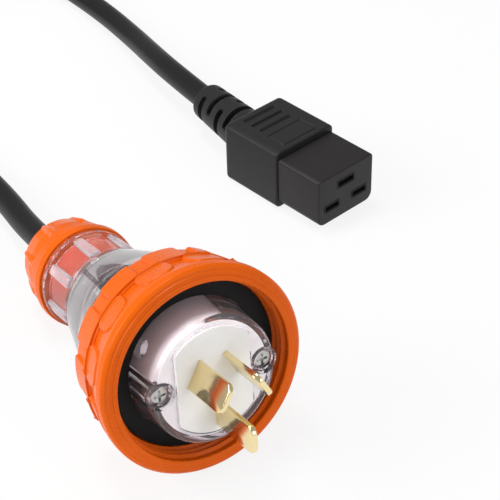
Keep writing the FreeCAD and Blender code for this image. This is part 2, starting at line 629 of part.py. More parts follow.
def screw(name, x, y, length, shaft, head, head_height, z="0"):
    """Cross-head screw along X with its head's face at x."""
    top = rod(name + "_head", ("%s - %s" % (x, head_height), x), head, y, z)
    stem = rod(name + "_stem", ("%s - %s - %s" % (x, head_height, length), "%s - %s / 2" % (x, head_height)),
               shaft, y, z)
    arms = [box(name + "_arm", ("%s - cross_depth" % x, x + " + 1"),
                ("%s - %s / 2" % (y, a), "%s + %s / 2" % (y, a)),
                ("%s - %s / 2" % (z, b), "%s + %s / 2" % (z, b)))
            for a, b in (("cross_length", "cross_width"), ("cross_width", "cross_length"))]
    return cut(name, fused(name + "_whole", [top, stem]), arms)


def gasket(lie):
    keep(turned("gasket", [("-gasket_depth", "cap_radius + cap_draft + gasket_gap"),
                           ("-gasket_depth", "cap_skirt_radius"),
                           ("-(gasket_depth + gasket_thickness)", "cap_skirt_radius"),
                           ("-(gasket_depth + gasket_thickness)", "cap_radius + cap_draft + gasket_gap")]),
         "plug_gasket", lie)


def rear_shell(lie):
    """Clear rear shell: flange, cone, collar for the gland nut, and the saddle under the cord clamp."""
    seal_back, seal_front = SHELL_FRONT + " + seal_margin", SHELL_FRONT + " + seal_margin + seal_width"
    seal = turned("seal", [(seal_back, REGISTER_R + " - seal_groove"),
                           (seal_front, REGISTER_R + " - seal_groove"),
                           (seal_front, REGISTER_R + " + register_gap"),
                           (seal_back, REGISTER_R + " + register_gap")])
    flange_back = SHELL_FRONT + " - shell_flange"
    register_bore = REGISTER_R + " - register_wall"
    points = [
        (SHELL_FRONT + " + register_length", register_bore), (SHELL_FRONT + " + register_length", REGISTER_R),
        (SHELL_FRONT, REGISTER_R), (SHELL_FRONT, "shell_flange_radius"), (flange_back, "shell_flange_radius"),
        ("-shell_end", "shell_end_radius"), ("-(shell_end + collar_neck)", "collar_radius"),
        (NUT_FRONT + " + rim_length", "collar_radius"), (NUT_FRONT + " + rim_length", "rim_radius"),
        (NUT_FRONT, "rim_radius"), (NUT_FRONT, THREAD_R), (SEAT_BACK, THREAD_R), (SEAT_BACK, "seat_radius"),
        ("-seat_front", "seat_radius"), ("-seat_front", "shell_end_radius - shell_wall"),
        (flange_back, "shell_flange_radius - shell_wall"), (flange_back, register_bore)]
    shell_ = turned("shell", points)
    pillars = pair("pillar", (SHELL_FRONT + " + register_length - pillar_length",
                              SHELL_FRONT + " + register_length"), "pillar_radius")
    saddle = box("saddle", ("-(clamp_station + clamp_length / 2)", "-(clamp_station - clamp_length / 2)"),
                 ("-clamp_half_width", "clamp_half_width"), ("-shell_end_radius", "0"))
    bore = rod("saddle_bore", ("-seat_front", "-(clamp_station - clamp_length)"), "cord_diameter / 2")
    holes = pair("pillar_hole", (HEAD_TOP + " - screw_head_height - screw_length",
                                 SHELL_FRONT + " + register_length + 1"), "screw_radius")
    taps = [clamp_stem("saddle_tap", side, "clamp_screw_radius") for side in ("", "-")]
    keep(cut("shell_cut", fused("shell_whole", [shell_] + pillars + [saddle]), [bore, seal] + holes + taps),
         "plug_rear_shell", lie)
    keep(group("seal_piece", [seal]), "shell_seal", lie)


def clamp_stem(name, side, radius):
    """The stem of a clamp screw, down through the bar into the saddle."""
    bar = doc.addObject("Part::Cylinder", name)
    bind(bar, Radius=radius, Height="clamp_screw_length")
    bind(bar, **{".Placement.Base.x": "-clamp_station", ".Placement.Base.y": side + "clamp_screw_offset",
                 ".Placement.Base.z": "cord_diameter / 2 - clamp_bite + clamp_bar - clamp_screw_length"})
    return bar


def cord_clamp(lie):
    """Bar that holds the sheath down on the saddle, with its two screws."""
    low = "cord_diameter / 2 - clamp_bite - clamp_bar / 2"
    top = "cord_diameter / 2 - clamp_bite + clamp_bar"
    bar = box("clamp_block", ("-(clamp_station + clamp_length / 2)", "-(clamp_station - clamp_length / 2)"),
              ("-clamp_half_width", "clamp_half_width"), (low, top))
    stems = [clamp_stem("clamp_bore", side, "clamp_screw_radius") for side in ("", "-")]
    heads = []
    for side in ("", "-"):
        head = doc.addObject("Part::Cylinder", "clamp_head")
        bind(head, Radius="clamp_head_radius", Height="clamp_head_height")
        bind(head, **{".Placement.Base.x": "-clamp_station", ".Placement.Base.y": side + "clamp_screw_offset",
                      ".Placement.Base.z": top})
        arms = [box("clamp_arm", ("-clamp_station - %s / 2" % a, "-clamp_station + %s / 2" % a),
                    (side + "clamp_screw_offset - %s / 2" % b, side + "clamp_screw_offset + %s / 2" % b),
                    (top + " + clamp_head_height - cross_depth / 2", top + " + clamp_head_height + 1"))
                for a, b in (("cross_length", "cross_width"), ("cross_width", "cross_length"))]
        stem = clamp_stem("clamp_stem", side, "clamp_screw_radius")
        heads.append(cut("clamp_screw", fused("clamp_screw_whole", [head, stem]), arms))
    sheath = rod("clamp_sheath", ("-seat_front", "-(clamp_station - clamp_length)"), "cord_diameter / 2")
    keep(cut("clamp_cut", bar, [sheath] + stems), "cord_clamp", lie)
    keep(group("clamp_screw_set", heads), "clamp_screws", lie)


def gland(lie):
    """Gland nut with scalloped sides and threaded spigot, the slip washer and the rubber seal."""
    back = NUT_FRONT + " - nut_length"
    nut = turned("nut", [(NUT_FRONT, "spigot_radius"), (NUT_FRONT + " + spigot_length", "spigot_radius"),
                         (NUT_FRONT + " + spigot_length", "spigot_bore"), (back + " + nut_dome", "spigot_bore"),
                         (back + " + nut_dome", "cord_diameter / 2 + cord_gap"),
                         (back, "cord_diameter / 2 + cord_gap"), (back, "nut_mouth_radius"),
                         (back + " + nut_dome", "nut_tail_radius"), (NUT_FRONT + " - nut_lip", "nut_radius"),
                         (NUT_FRONT, "nut_radius")])
    flutes = []
    count = round(value("scallops"))
    for i in range(count):
        turn = math.radians((i + 0.5) * 360 / count)
        far = value("nut_tail_radius + scallop_radius - scallop_depth + scallop_flare")
        near = value("nut_radius + scallop_radius - scallop_depth")
        aside = Vector(0, math.cos(turn), math.sin(turn))
        front = Vector(value(NUT_FRONT + " - nut_lip - 1"), 0, 0)
        rear = Vector(value(back) - 1, 0, 0)
        flutes.append(link("flute", rear + aside * far, front + aside * near, "scallop_radius"))
    keep(cut("nut_cut", nut, flutes), "gland_nut", lie)
    face = NUT_FRONT + " + spigot_length"
    seal_front = face + " + washer_thickness"
    inner = "cord_diameter / 2 + cord_gap"
    keep(turned("washer", [(face, inner), (seal_front, inner), (seal_front, THREAD_R + " - washer_gap"),
                           (face, THREAD_R + " - washer_gap")]), "gland_washer", lie)
    keep(turned("grommet", [(seal_front, "cord_diameter / 2"), (SEAT_BACK, "cord_diameter / 2"),
                            (SEAT_BACK, THREAD_R + " - seal_gap"), (seal_front, THREAD_R + " - seal_gap")]),
         "gland_seal", lie)
    return value(back)


def plug():
    """The plug's pieces, and where and which way its cord leaves the gland nut."""
    lie = plug_placement()
    coupling_ring(lie)
    gasket(lie)
    front_cap(lie)
    carrier(lie)
    for name in PINS:
        pin(name, lie)
    terminal_screws(lie)
    stems = [screw("front_screw", HEAD_TOP, side + "screw_offset", "screw_length", "screw_radius",
                   "screw_head_radius", "screw_head_height") for side in ("", "-")]
    keep(group("front_screw_set", stems), "front_screws", lie)
    rear_shell(lie)
    cord_clamp(lie)
    back = gland(lie)
    rear, front, radius = "-(collar_end + nut_length)", "-sheath_end", "cord_diameter / 2"
    keep(turned("sheath", [(rear, "0"), (front, "0"), (front, radius), (rear, radius)]), "plug_sheath", lie)
    for name, angle in zip(PINS, (30, 150, 270)):
        y, z = at_pin(name)[:2]
        turn = math.radians(angle)
        start = Vector(value("core_gap - sheath_end"), 0, 0)
        start += Vector(0, math.cos(turn), math.sin(turn)) * value("core_pitch")
        end = Vector(value(BASE_BACK + " - tunnel_length - core_gap"), value(y), value(z))
        keep(link(name.replace("pin", "core") + "_bar", start, end, "core_radius"),
             name.replace("pin", "plug_core"), lie)
    return lie.multVec(Vector(back, 0, 0)), lie.Rotation.multVec(Vector(-1, 0, 0))


# ---------------------------------------------------------------- whole lead
def cords():
    way_in, way_out = coil()
    leave, aim = connector()
    nut_mouth, back = plug()
    floor = value("cord_diameter / 2 + rest_gap")
    straight = value("cord_straight")
    level = Vector(straight, 0, 0)
    near = [leave, leave + aim * straight, Vector(-84, 14.5, 9.8), Vector(-108, 22.5, 6.2),
            Vector(-136, 28.6, floor),
            Vector(-166, 31.4, floor), way_in + level, way_in]
    far = [nut_mouth, nut_mouth + back * straight, Vector(-48, -88, 6.4), Vector(-78, -83.2, floor),
           Vector(-110, -81.4, floor), Vector(-138, -84, floor + 1.2), Vector(-165, -89, floor + 6.5),
           way_out + level, way_out]
    lengths = [tube("cord_to_connector", near)[1], tube("cord_to_plug", far)[1]]
    print("free lengths %.1f %.1f" % tuple(lengths))


cords()
doc.recompute()
os.makedirs("parts", exist_ok=True)
for thing in doc.Objects:
    if any(word in thing.State for word in ("Invalid", "Error")):
        raise RuntimeError("%s failed: %s" % (thing.Name, thing.State))
names = [thing.Label for thing in parts]
if len(set(names)) != len(names):
    raise RuntimeError("two pieces share a name")
for thing in parts:
    if thing.Shape.isNull() or not thing.Shape.isValid():
        raise RuntimeError("%s has no valid shape" % thing.Label)
for thing in parts:
    thing.Shape.exportStep("parts/%s.step" % thing.Label)
    print("%-24s %2d solids %9.1f mm3" % (thing.Label, len(thing.Shape.Solids), thing.Shape.Volume))
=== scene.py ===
"""Looks of a power lead: a moulded three-slot connector, its cord, and a sealed flat-pin plug."""
import json
import math

import bmesh
import bpy
import numpy as np
from mathutils import Matrix, Vector


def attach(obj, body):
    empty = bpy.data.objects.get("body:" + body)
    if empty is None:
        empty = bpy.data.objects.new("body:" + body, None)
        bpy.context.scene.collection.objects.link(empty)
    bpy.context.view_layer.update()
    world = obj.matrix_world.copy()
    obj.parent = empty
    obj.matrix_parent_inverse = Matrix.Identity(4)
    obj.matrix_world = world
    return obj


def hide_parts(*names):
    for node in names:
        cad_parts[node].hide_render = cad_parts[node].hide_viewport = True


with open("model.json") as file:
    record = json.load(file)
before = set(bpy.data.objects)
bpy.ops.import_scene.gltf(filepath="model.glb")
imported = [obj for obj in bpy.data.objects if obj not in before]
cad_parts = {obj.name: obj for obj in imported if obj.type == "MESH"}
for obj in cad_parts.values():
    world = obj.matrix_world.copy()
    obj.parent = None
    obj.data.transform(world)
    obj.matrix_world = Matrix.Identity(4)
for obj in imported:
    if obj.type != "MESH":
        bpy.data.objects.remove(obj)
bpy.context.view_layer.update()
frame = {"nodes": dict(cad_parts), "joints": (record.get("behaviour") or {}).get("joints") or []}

bl_info = {
    "name": "Power lead builder",
    "version": (1, 0, 0),
    "blender": (4, 5, 0),
    "location": "3D View > Sidebar > Power lead",
    "description": "Builds a power lead's visible pieces round its packed solids",
    "category": "Object",
}

MM = 0.001
TURN = 2 * math.pi


# ---- sizes and colours a user may change
def length(name, millimetres, description):
    """A length, given in millimetres and kept in metres."""
    return bpy.props.FloatProperty(name=name, description=description, default=millimetres * MM,
                                   unit="LENGTH", subtype="DISTANCE", precision=5)


def colour(name, shade, description):
    return bpy.props.FloatVectorProperty(name=name, description=description, default=(*shade, 1),
                                         size=4, subtype="COLOR", min=0, max=1)


def number(name, amount, description):
    return bpy.props.IntProperty(name=name, description=description, default=amount, min=1)


class LeadSizes(bpy.types.PropertyGroup):
    """Sizes of the lead's visible pieces."""
    cord_diameter: length("Cord diameter", 9.5, "Outside of the cord's jacket")
    nose_length: length("Nose length", 21.3, "Hard nose ahead of the boot")
    nose_width: length("Nose width", 28.0, "Hard nose, across")
    nose_height: length("Nose height", 20.0, "Hard nose, up")
    boot_length: length("Boot length", 28.9, "Soft boot, without its strain relief")
    boot_width: length("Boot width", 29.4, "Soft boot, across")
    boot_height: length("Boot height", 24.5, "Soft boot, up")
    relief_length: length("Strain relief length", 33.9, "Tapered strain relief")
    ring_length: length("Ring length", 28.0, "Coupling ring, along the plug")
    ring_radius: length("Ring radius", 33.5, "Coupling ring's lip")
    pad_rise: length("Pad rise", 0.9, "How far the ring's pads stand up")
    cap_radius: length("Cap radius", 20.3, "Clear front barrel")
    nut_radius: length("Nut radius", 17.9, "Gland nut's lip")
    pin_width: length("Pin width", 9.08, "Flat pin, across")
    pin_thickness: length("Pin thickness", 1.63, "Flat pin, through")
    pads: number("Ring pads", 12, "Pads and tongues round the coupling ring")
    scallops: number("Nut scallops", 8, "Scallops round the gland nut")
    ribs: number("Collar ribs", 8, "Lengthwise ribs on the clear collar")
    coil_points: number("Coil points", 16, "Route points in each stored turn")


class LeadColours(bpy.types.PropertyGroup):
    """Colours of the lead's finishes."""
    boot: colour("Boot", (0.016, 0.016, 0.017), "Soft moulded boot")
    nose: colour("Nose", (0.018, 0.016, 0.016), "Hard moulded nose")
    jacket: colour("Jacket", (0.008, 0.008, 0.009), "Cord's jacket")
    orange: colour("Orange", (0.78, 0.118, 0.001), "Coupling ring and gland nut")
    clear: colour("Clear", (0.90, 0.85, 0.88), "Clear cap and rear shell")
    white: colour("White", (0.95, 0.94, 0.94), "Pin carrier")
    pin: colour("Pin", (0.90, 0.75, 0.42), "Plated pins")


def mm(name):
    """A size of the lead, in millimetres."""
    return getattr(bpy.context.scene.lead_sizes, name) / MM


def count(name):
    return getattr(bpy.context.scene.lead_sizes, name)


def shade(name):
    return tuple(getattr(bpy.context.scene.lead_colours, name))


# ---- places
# In millimetres. The connector's places are the frame's. The plug's stations run along its axis,
# with 0 at the ring's mouth.
STEP_X = 21.11        # the connector's step, between boot and nose
NOSE_LOW = 1.85       # the nose's underside above the floor
RELIEF_YAW = math.radians(8.7)
PLUG_ROLL = math.radians(-4.4)
RING_STATION = 26.0   # from the ring's joint to its mouth
FACE = 5.2            # front of the clear cap
PLATE = 3.3           # back of the clear cap's front plate
PIN_FOOT = PLATE - 6.5
COLLAR_END = -79.0    # where the clear collar and the gland nut meet
NUT_END = -103.8
SCREW_OUT = 17.2      # from the plug's axis to each front screw
SPIGOT_RADIUS = 11.5
SPIGOT_TIP = -63.8
COLLAR_BORE = 13.05
FINE_PITCH, FINE_TURNS = 1.25, 11   # the thread between the nut's spigot and the collar
SIDES = (1, -1)


def plug_place():
    """From the plug's stations and its own Y and Z, in millimetres, to the frame."""
    joint = frame["joints"][0]
    axis = Vector(joint["axis"]).normalized()
    origin = Vector(joint["pos_m"]) + axis * RING_STATION * MM
    yaw, tilt = math.atan2(axis.y, axis.x), math.asin(axis.z)
    return (Matrix.Translation(origin) @ Matrix.Rotation(yaw, 4, "Z")
            @ Matrix.Rotation(-tilt, 4, "Y") @ Matrix.Rotation(PLUG_ROLL, 4, "X")
            @ Matrix.Scale(MM, 4))


def connector_place():
    return Matrix.Scale(MM, 4)


def relief_way():
    """The strain relief's root and direction, in millimetres."""
    aim = Vector((-math.cos(RELIEF_YAW), math.sin(RELIEF_YAW), 0))
    root = Vector((STEP_X - mm("boot_length"), 0, mm("boot_height") / 2))
    return root, aim


# ---- node trees written as expressions
class Wire:
    """A socket that can be added, multiplied and compared as a number is."""

    def __init__(self, tree, socket):
        self.tree, self.socket = tree, socket

    def math(self, operation, *others):
        return self.tree.wire("ShaderNodeMath", {"operation": operation},
                              dict(enumerate((self, *others))))

    def __add__(self, other):
        return self.math("ADD", other)

    def __sub__(self, other):
        return self.math("SUBTRACT", other)

    def __mul__(self, other):
        return self.math("MULTIPLY", other)

    def __truediv__(self, other):
        return self.math("DIVIDE", other)

    def __rtruediv__(self, other):
        return self.tree.wire("ShaderNodeMath", {"operation": "DIVIDE"}, {0: other, 1: self})

    def __abs__(self):
        return self.math("ABSOLUTE")

    def bigger(self, other):
        return self.math("MAXIMUM", other)

    def smaller(self, other):
        return self.math("MINIMUM", other)


class Tree:
    """A node tree and the one way of adding a node to it."""

    def __init__(self, nodes):
        self.nodes = nodes

    def add(self, kind, settings=None, inputs=None):
        node = self.nodes.nodes.new(kind)
        for name, setting in (settings or {}).items():
            setattr(node, name, setting)
        for key, given in (inputs or {}).items():
            if isinstance(given, Wire):
                self.nodes.links.new(given.socket, node.inputs[key])
            else:
                node.inputs[key].default_value = given
        return node

    def wire(self, kind, settings=None, inputs=None, output=0):
        return Wire(self, self.add(kind, settings, inputs).outputs[output])

    def mixed(self, factor, first, second, out):
        """Send a mix of two shader nodes to the output node."""
        mix = self.add("ShaderNodeMixShader", None, {0: factor})
        self.nodes.links.new(first.outputs[0], mix.inputs[1])
        self.nodes.links.new(second.outputs[0], mix.inputs[2])
        self.nodes.links.new(mix.outputs[0], out.inputs[0])


class Finish(Tree):
    """A material whose Principled shader is fed by noise on the piece's own Object coordinates."""

    def __init__(self, name, **fixed):
        self.material = bpy.data.materials.new(name)
        self.material.use_nodes = True
        super().__init__(self.material.node_tree)
        self.nodes.nodes.clear()
        self.shader = self.add("ShaderNodeBsdfPrincipled", None, fixed)
        self.out = self.add("ShaderNodeOutputMaterial")
        self.nodes.links.new(self.shader.outputs[0], self.out.inputs[0])
        self.place = self.wire("ShaderNodeTexCoord", None, None, "Object")

    def noise(self, grain, detail=3.0, stretch=(1, 1, 1)):
        """Noise whose grain is a length in millimetres."""
        mapped = self.wire("ShaderNodeMapping", {"vector_type": "TEXTURE"}, {
            "Vector": self.place, "Scale": tuple(grain * MM * s for s in stretch)})
        return self.wire("ShaderNodeTexNoise", None,
                         {"Vector": mapped, "Scale": 1.0, "Detail": detail})

    def between(self, factor, first, second):
        """A colour between two, by the Mix node's own colour sockets."""
        return self.wire("ShaderNodeMix", {"data_type": "RGBA"},
                         {0: factor, 6: first, 7: second}, 2)

    def feed(self, **wires):
        for name, wire in wires.items():
            self.nodes.links.new(wire.socket, self.shader.inputs[name.replace("_", " ")])
        return self.material

    def bump(self, height, millimetres):
        return self.wire("ShaderNodeBump", None, {"Height": height, "Distance": millimetres * MM,
                                                  "Strength": 1.0})


def tone(shade_, factor):
    """A darker or lighter tone of a colour."""
    return (*(channel * factor for channel in shade_[:3]), 1)


def moulded(name, shade_, rough, grain=0.35, depth=0.012, patch=9.0, shine=0.5):
    """Moulded plastic: faint clouding, a fine skin texture, and slightly uneven gloss."""
    finish = Finish(name, **{"IOR": 1.46, "Specular IOR Level": shine})
    fine, wide = finish.noise(grain), finish.noise(patch, 2.0)
    base = finish.between(wide, tone(shade_, 0.90), tone(shade_, 1.12))
    return finish.feed(Base_Color=base, Roughness=fine * 0.10 + wide * 0.08 + (rough - 0.09),
                       Normal=finish.bump(fine, depth))


def brushed(name, shade_, rough, stretch):
    """Metal with drawn lines along the direction of the largest stretch."""
    finish = Finish(name, **{"Metallic": 1.0})
    lines, wide = finish.noise(0.08, 2.0, stretch), finish.noise(3.0, 2.0)
    base = finish.between(wide, tone(shade_, 0.93), tone(shade_, 1.05))
    return finish.feed(Base_Color=base, Roughness=lines * 0.12 + (rough - 0.06),
                       Normal=finish.bump(lines, 0.003))


def see_through(name, shade_, passing=0.96, rough=0.01):
    """Clear moulded plastic. Its shadow is faint, so that light reaches what is inside it."""
    finish = Finish(name, **{"IOR": 1.46, "Transmission Weight": passing,
                             "Specular IOR Level": 0.3})
    wide, fine = finish.noise(12.0, 2.0), finish.noise(1.2, 2.0)
    base = finish.between(wide, tone(shade_, 0.985), tone(shade_, 1.0))
    finish.feed(Base_Color=base, Roughness=fine * 0.03 + rough)
    lit = finish.add("ShaderNodeBsdfTransparent", None, {"Color": (0.93, 0.92, 0.93, 1)})
    shadow = finish.wire("ShaderNodeLightPath", None, None, "Is Shadow Ray")
    finish.mixed(shadow, finish.shader, lit, finish.out)
    return finish.material


def woven(name, shade_):
    """Hook-and-loop strap: a close looped pile."""
    finish = Finish(name, **{"Roughness": 0.9, "Sheen Weight": 0.3})
    pile, wide = finish.noise(0.6, 4.0), finish.noise(6.0)
    base = finish.between(pile, tone(shade_, 0.6), tone(shade_, 1.5))
    return finish.feed(Base_Color=base, Roughness=wide * 0.1 + 0.8, Normal=finish.bump(pile, 0.25))


FINISHES = {}


def finish_of(name):
    """The material of that finish, made the first time it is asked for."""
    if name not in FINISHES:
        makers = {
            "boot": lambda: moulded("soft black moulding", shade("boot"), 0.46, shine=0.28),
            "nose": lambda: moulded("hard black moulding", shade("nose"), 0.44, 0.25, 0.008,
                                    shine=0.28),
            "cord": lambda: moulded("black jacket", shade("jacket"), 0.40, 0.5, 0.02, 30.0, 0.3),
            "orange": lambda: moulded("orange shell", shade("orange"), 0.28, 0.6, 0.004, 14.0,
                                      0.16),
            "clear": lambda: see_through("clear shell", shade("clear")),
            "frosted": lambda: see_through("frosted ribs", (0.80, 0.77, 0.80), 0.75, 0.10),
            "white": lambda: moulded("white carrier", shade("white"), 0.45, 0.4, 0.008),
            "pin": lambda: brushed("plated pin", shade("pin"), 0.15, (40, 1, 1)),
            "screw": lambda: brushed("bright screw", (0.50, 0.49, 0.48), 0.14, (1, 1, 8)),
            "contact": lambda: brushed("contact spring", (0.80, 0.60, 0.32), 0.28,
                                       (20, 1, 1)),
            "gasket": lambda: moulded("black gasket", (0.006, 0.006, 0.006), 0.55, 0.8, 0.03,
                                      shine=0.2),
            "grey": lambda: moulded("grey washer", (0.38, 0.39, 0.40), 0.5),
            "seal": lambda: moulded("rubber seal", (0.03, 0.03, 0.03), 0.6),
            "tie": lambda: woven("strap", (0.03, 0.03, 0.032)),
            "core_brown": lambda: moulded("brown core", (0.16, 0.055, 0.02), 0.4),
            "core_blue": lambda: moulded("blue core", (0.03, 0.13, 0.45), 0.4),
            "core_green": lambda: moulded("green core", (0.10, 0.42, 0.05), 0.4),
        }
        FINISHES[name] = makers[name]()
    return FINISHES[name]


# ---- ways of making a mesh, in millimetres
MOST_CUT = 0.49   # how much of an outline's side a corner's arc may take up
MERGE, SPECK = 0.002, 0.0005


def softened(corners, arc=6):
    """A closed outline of (x, y, radius) corners, each turned into an arc."""
    points = []
    size = len(corners)
    for i, (x, y, radius) in enumerate(corners):
        here = Vector((x, y))
        before = Vector(corners[i - 1][:2]) - here
        after = Vector(corners[(i + 1) % size][:2]) - here
        if radius <= 0:
            points.append(here)
            continue
        into, out = before.normalized(), after.normalized()
        half = into.angle(out) / 2
        reach = min(radius / math.tan(half), MOST_CUT * before.length, MOST_CUT * after.length)
        bend = reach * math.tan(half)
        centre = here + (into + out).normalized() * (bend / math.sin(half))
        first, last = here + into * reach - centre, here + out * reach - centre
        sweep = first.angle_signed(last)
        for k in range(arc + 1):
            turn = -sweep * k / arc
            points.append(centre + Matrix.Rotation(turn, 2) @ first)
    return np.array([tuple(p) for p in points])


def spaced(outline, longest, least_x, most_x, least_radius):
    """The same closed outline, its sides divided within a stretch of X and beyond a radius."""
    points = []
    for a, b in zip(outline, np.roll(outline, -1, axis=0)):
        inside = (least_x <= min(a[0], b[0]) and max(a[0], b[0]) <= most_x
                  and min(a[1], b[1]) > least_radius)
        parts = max(1, math.ceil(np.linalg.norm(b - a) / longest)) if inside else 1
        points += [a + (b - a) * k / parts for k in range(parts)]
    return np.array(points)


def placed(name, data):
    """A new object with this data, in the scene."""
    piece = bpy.data.objects.new(name, data)
    bpy.context.scene.collection.objects.link(piece)
    return piece


def mesh_object(name, points, faces):
    data = bpy.data.meshes.new(name)
    data.from_pydata([tuple(p) for p in points], [], faces)
    return placed(name, data)


def skinned(name, grid, closed=False):
    """A skin over rows of points, each a loop: with flat ends, or closed in a ring."""
    rows, columns = grid.shape[:2]
    faces = []
    for i in range(rows if closed else rows - 1):
        for j in range(columns):
            a, b = i * columns, (i + 1) % rows * columns
            k = (j + 1) % columns
            faces.append((a + j, a + k, b + k, b + j))
    if not closed:
        faces.append(tuple(range(columns))[::-1])
        faces.append(tuple(range((rows - 1) * columns, rows * columns)))
    return mesh_object(name, grid.reshape(-1, 3), faces)


def lathe(name, outline, columns=96):
    """A solid turned about X from a closed outline of (x, radius)."""
    angle = np.arange(columns) * TURN / columns
    x, radius = outline[:, :1], outline[:, 1:]
    grid = np.stack([x + 0 * angle, radius * np.cos(angle), radius * np.sin(angle)], -1)
    return cleaned(skinned(name, grid, closed=True))


def cleaned(piece):
    """Merge doubles and turn the faces outwards."""
    shape = bmesh.new()
    shape.from_mesh(piece.data)
    bmesh.ops.remove_doubles(shape, verts=shape.verts, dist=MERGE)
    bmesh.ops.dissolve_degenerate(shape, edges=shape.edges, dist=SPECK)
    bmesh.ops.recalc_face_normals(shape, faces=shape.faces)
    shape.to_mesh(piece.data)
    shape.free()
    return piece


def extruded(name, outline, low, high):
    """A prism along X between two places, from a closed outline of (y, z)."""
    return cleaned(skinned(name, np.array([[(x, y, z) for y, z in outline] for x in (low, high)])))


def applied(piece):
    """Turn a piece and its modifiers into a plain mesh."""
    graph = bpy.context.evaluated_depsgraph_get()
    made = bpy.data.meshes.new_from_object(piece.evaluated_get(graph), depsgraph=graph)
    piece.modifiers.clear()
    old, piece.data = piece.data, made
    bpy.data.meshes.remove(old)
    return piece


def joined(name, pieces):
    """Several meshes as the parts of one."""
    shape = bmesh.new()
    for piece in pieces:
        shape.from_mesh(piece.data)
        bpy.data.objects.remove(piece)
    data = bpy.data.meshes.new(name)
    shape.to_mesh(data)
    shape.free()
    return placed(name, data)


def shaped(piece, tools, operation="DIFFERENCE"):
    """Cut or add solids, one after another."""
    for tool in tools:
        change = piece.modifiers.new(operation.lower(), "BOOLEAN")
        change.operation, change.solver, change.object = operation, "EXACT", tool
        applied(piece)
        bpy.data.objects.remove(tool)
    return piece


def bevelled(piece, width, segments):
    """Round the edges that are sharper than 50 degrees."""
    edge = piece.modifiers.new("edges", "BEVEL")
    edge.width, edge.segments, edge.limit_method = width, segments, "ANGLE"
    edge.angle_limit = math.radians(50)
    return applied(piece)


def moved(piece, matrix):
    piece.data.transform(matrix)
    return piece


def done(piece, finish, place, nodes=(), body="lead", crease=32):
    """Put a piece in the frame, give it its finish, attach it to its body, and hide the CAD nodes
    it stands in for.
    """
    piece.data.transform(place)
    shape = bmesh.new()
    shape.from_mesh(piece.data)
    for face in shape.faces:
        face.smooth = True
    for edge in shape.edges:
        edge.smooth = (len(edge.link_faces) == 2
                       and edge.calc_face_angle(0) < math.radians(crease))
    shape.to_mesh(piece.data)
    shape.free()
    piece.data.materials.clear()
    piece.data.materials.append(finish_of(finish))
    for polygon in piece.data.polygons:
        polygon.material_index = 0
    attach(piece, body)
    if nodes:
        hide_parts(*nodes)
    return piece


def dressed(finish, *nodes):
    """Give CAD nodes that stay as they are their finish."""
    for node in nodes:
        data = frame["nodes"][node].data
        data.materials.clear()
        data.materials.append(finish_of(finish))
        for polygon in data.polygons:
            polygon.material_index = 0


# ---- geometry node trees
class Growth(Tree):
    """A geometry node tree with named inputs, which ends in Realize Instances and Set Material."""

    def __init__(self, name, **inputs):
        super().__init__(bpy.data.node_groups.new(name, "GeometryNodeTree"))
        face = self.nodes.interface
        face.new_socket("Geometry", in_out="INPUT", socket_type="NodeSocketGeometry")
        for label, kind in {**inputs, "Finish": "Material"}.items():
            face.new_socket(label, in_out="INPUT", socket_type="NodeSocket" + kind)
        face.new_socket("Geometry", in_out="OUTPUT", socket_type="NodeSocketGeometry")
        self.given = self.add("NodeGroupInput")

    def input(self, name):
        return Wire(self, self.given.outputs[name])

    def end(self, geometry):
        real = self.wire("GeometryNodeRealizeInstances", None, {"Geometry": geometry})
        last = self.wire("GeometryNodeSetMaterial", None,
                         {"Geometry": real, "Material": self.input("Finish")})
        self.add("NodeGroupOutput", None, {0: last})
        return self.nodes

    def vector(self, x=0.0, y=0.0, z=0.0):
        return self.wire("ShaderNodeCombineXYZ", None, {0: x, 1: y, 2: z})


def sector_tree():
    """Raise or sink rounded fields, set round the X axis, on a skin beyond the least radius."""
    tree = Growth("fields round an axis", Count="Int", **dict.fromkeys(
        ("Phase", "Middle", "Reach", "Half_Width", "Corner", "Rise", "Slope", "Wall",
         "Least_Radius"), "Float"))
    get = tree.input
    place = tree.add("ShaderNodeSeparateXYZ", None, {0: tree.wire("GeometryNodeInputPosition")})
    x, y, z = (Wire(tree, place.outputs[i]) for i in range(3))
    radius = (y * y + z * z).math("SQRT")
    sector = TURN / get("Count")
    turn = (z.math("ARCTAN2", y) - get("Phase")).math("WRAP", sector / 2, sector / -2)
    across = abs(turn * radius) - get("Half_Width") + get("Corner")
    along = abs(x - get("Middle")) - get("Reach") + get("Corner")
    outside = (across.bigger(0) * across.bigger(0)
               + along.bigger(0) * along.bigger(0)).math("SQRT")
    away = outside + across.bigger(along).smaller(0) - get("Corner")
    mask = tree.wire("ShaderNodeMapRange", {"interpolation_type": "SMOOTHSTEP"}, {
        "Value": away, "From Min": get("Wall") / 2, "From Max": get("Wall") / -2,
        "To Min": 0.0, "To Max": 1.0})
    mask = mask * radius.math("GREATER_THAN", get("Least_Radius"))
    rise = mask * (get("Rise") + (x - get("Middle")) * get("Slope"))
    out = tree.vector(0.0, rise * y / radius.bigger(0.01), rise * z / radius.bigger(0.01))
    return tree.end(tree.wire("GeometryNodeSetPosition", None,
                              {"Geometry": get("Geometry"), "Offset": out}))


def row_tree():
    """Copies of a piece in a straight row."""
    tree = Growth("copies in a row", Count="Int", First="Vector", Step="Vector")
    line = tree.wire("GeometryNodeMeshLine", None, {
        "Count": tree.input("Count"), "Start Location": tree.input("First"),
        "Offset": tree.input("Step")})
    return tree.end(tree.wire("GeometryNodeInstanceOnPoints", None,
                              {"Points": line, "Instance": tree.input("Geometry")}))


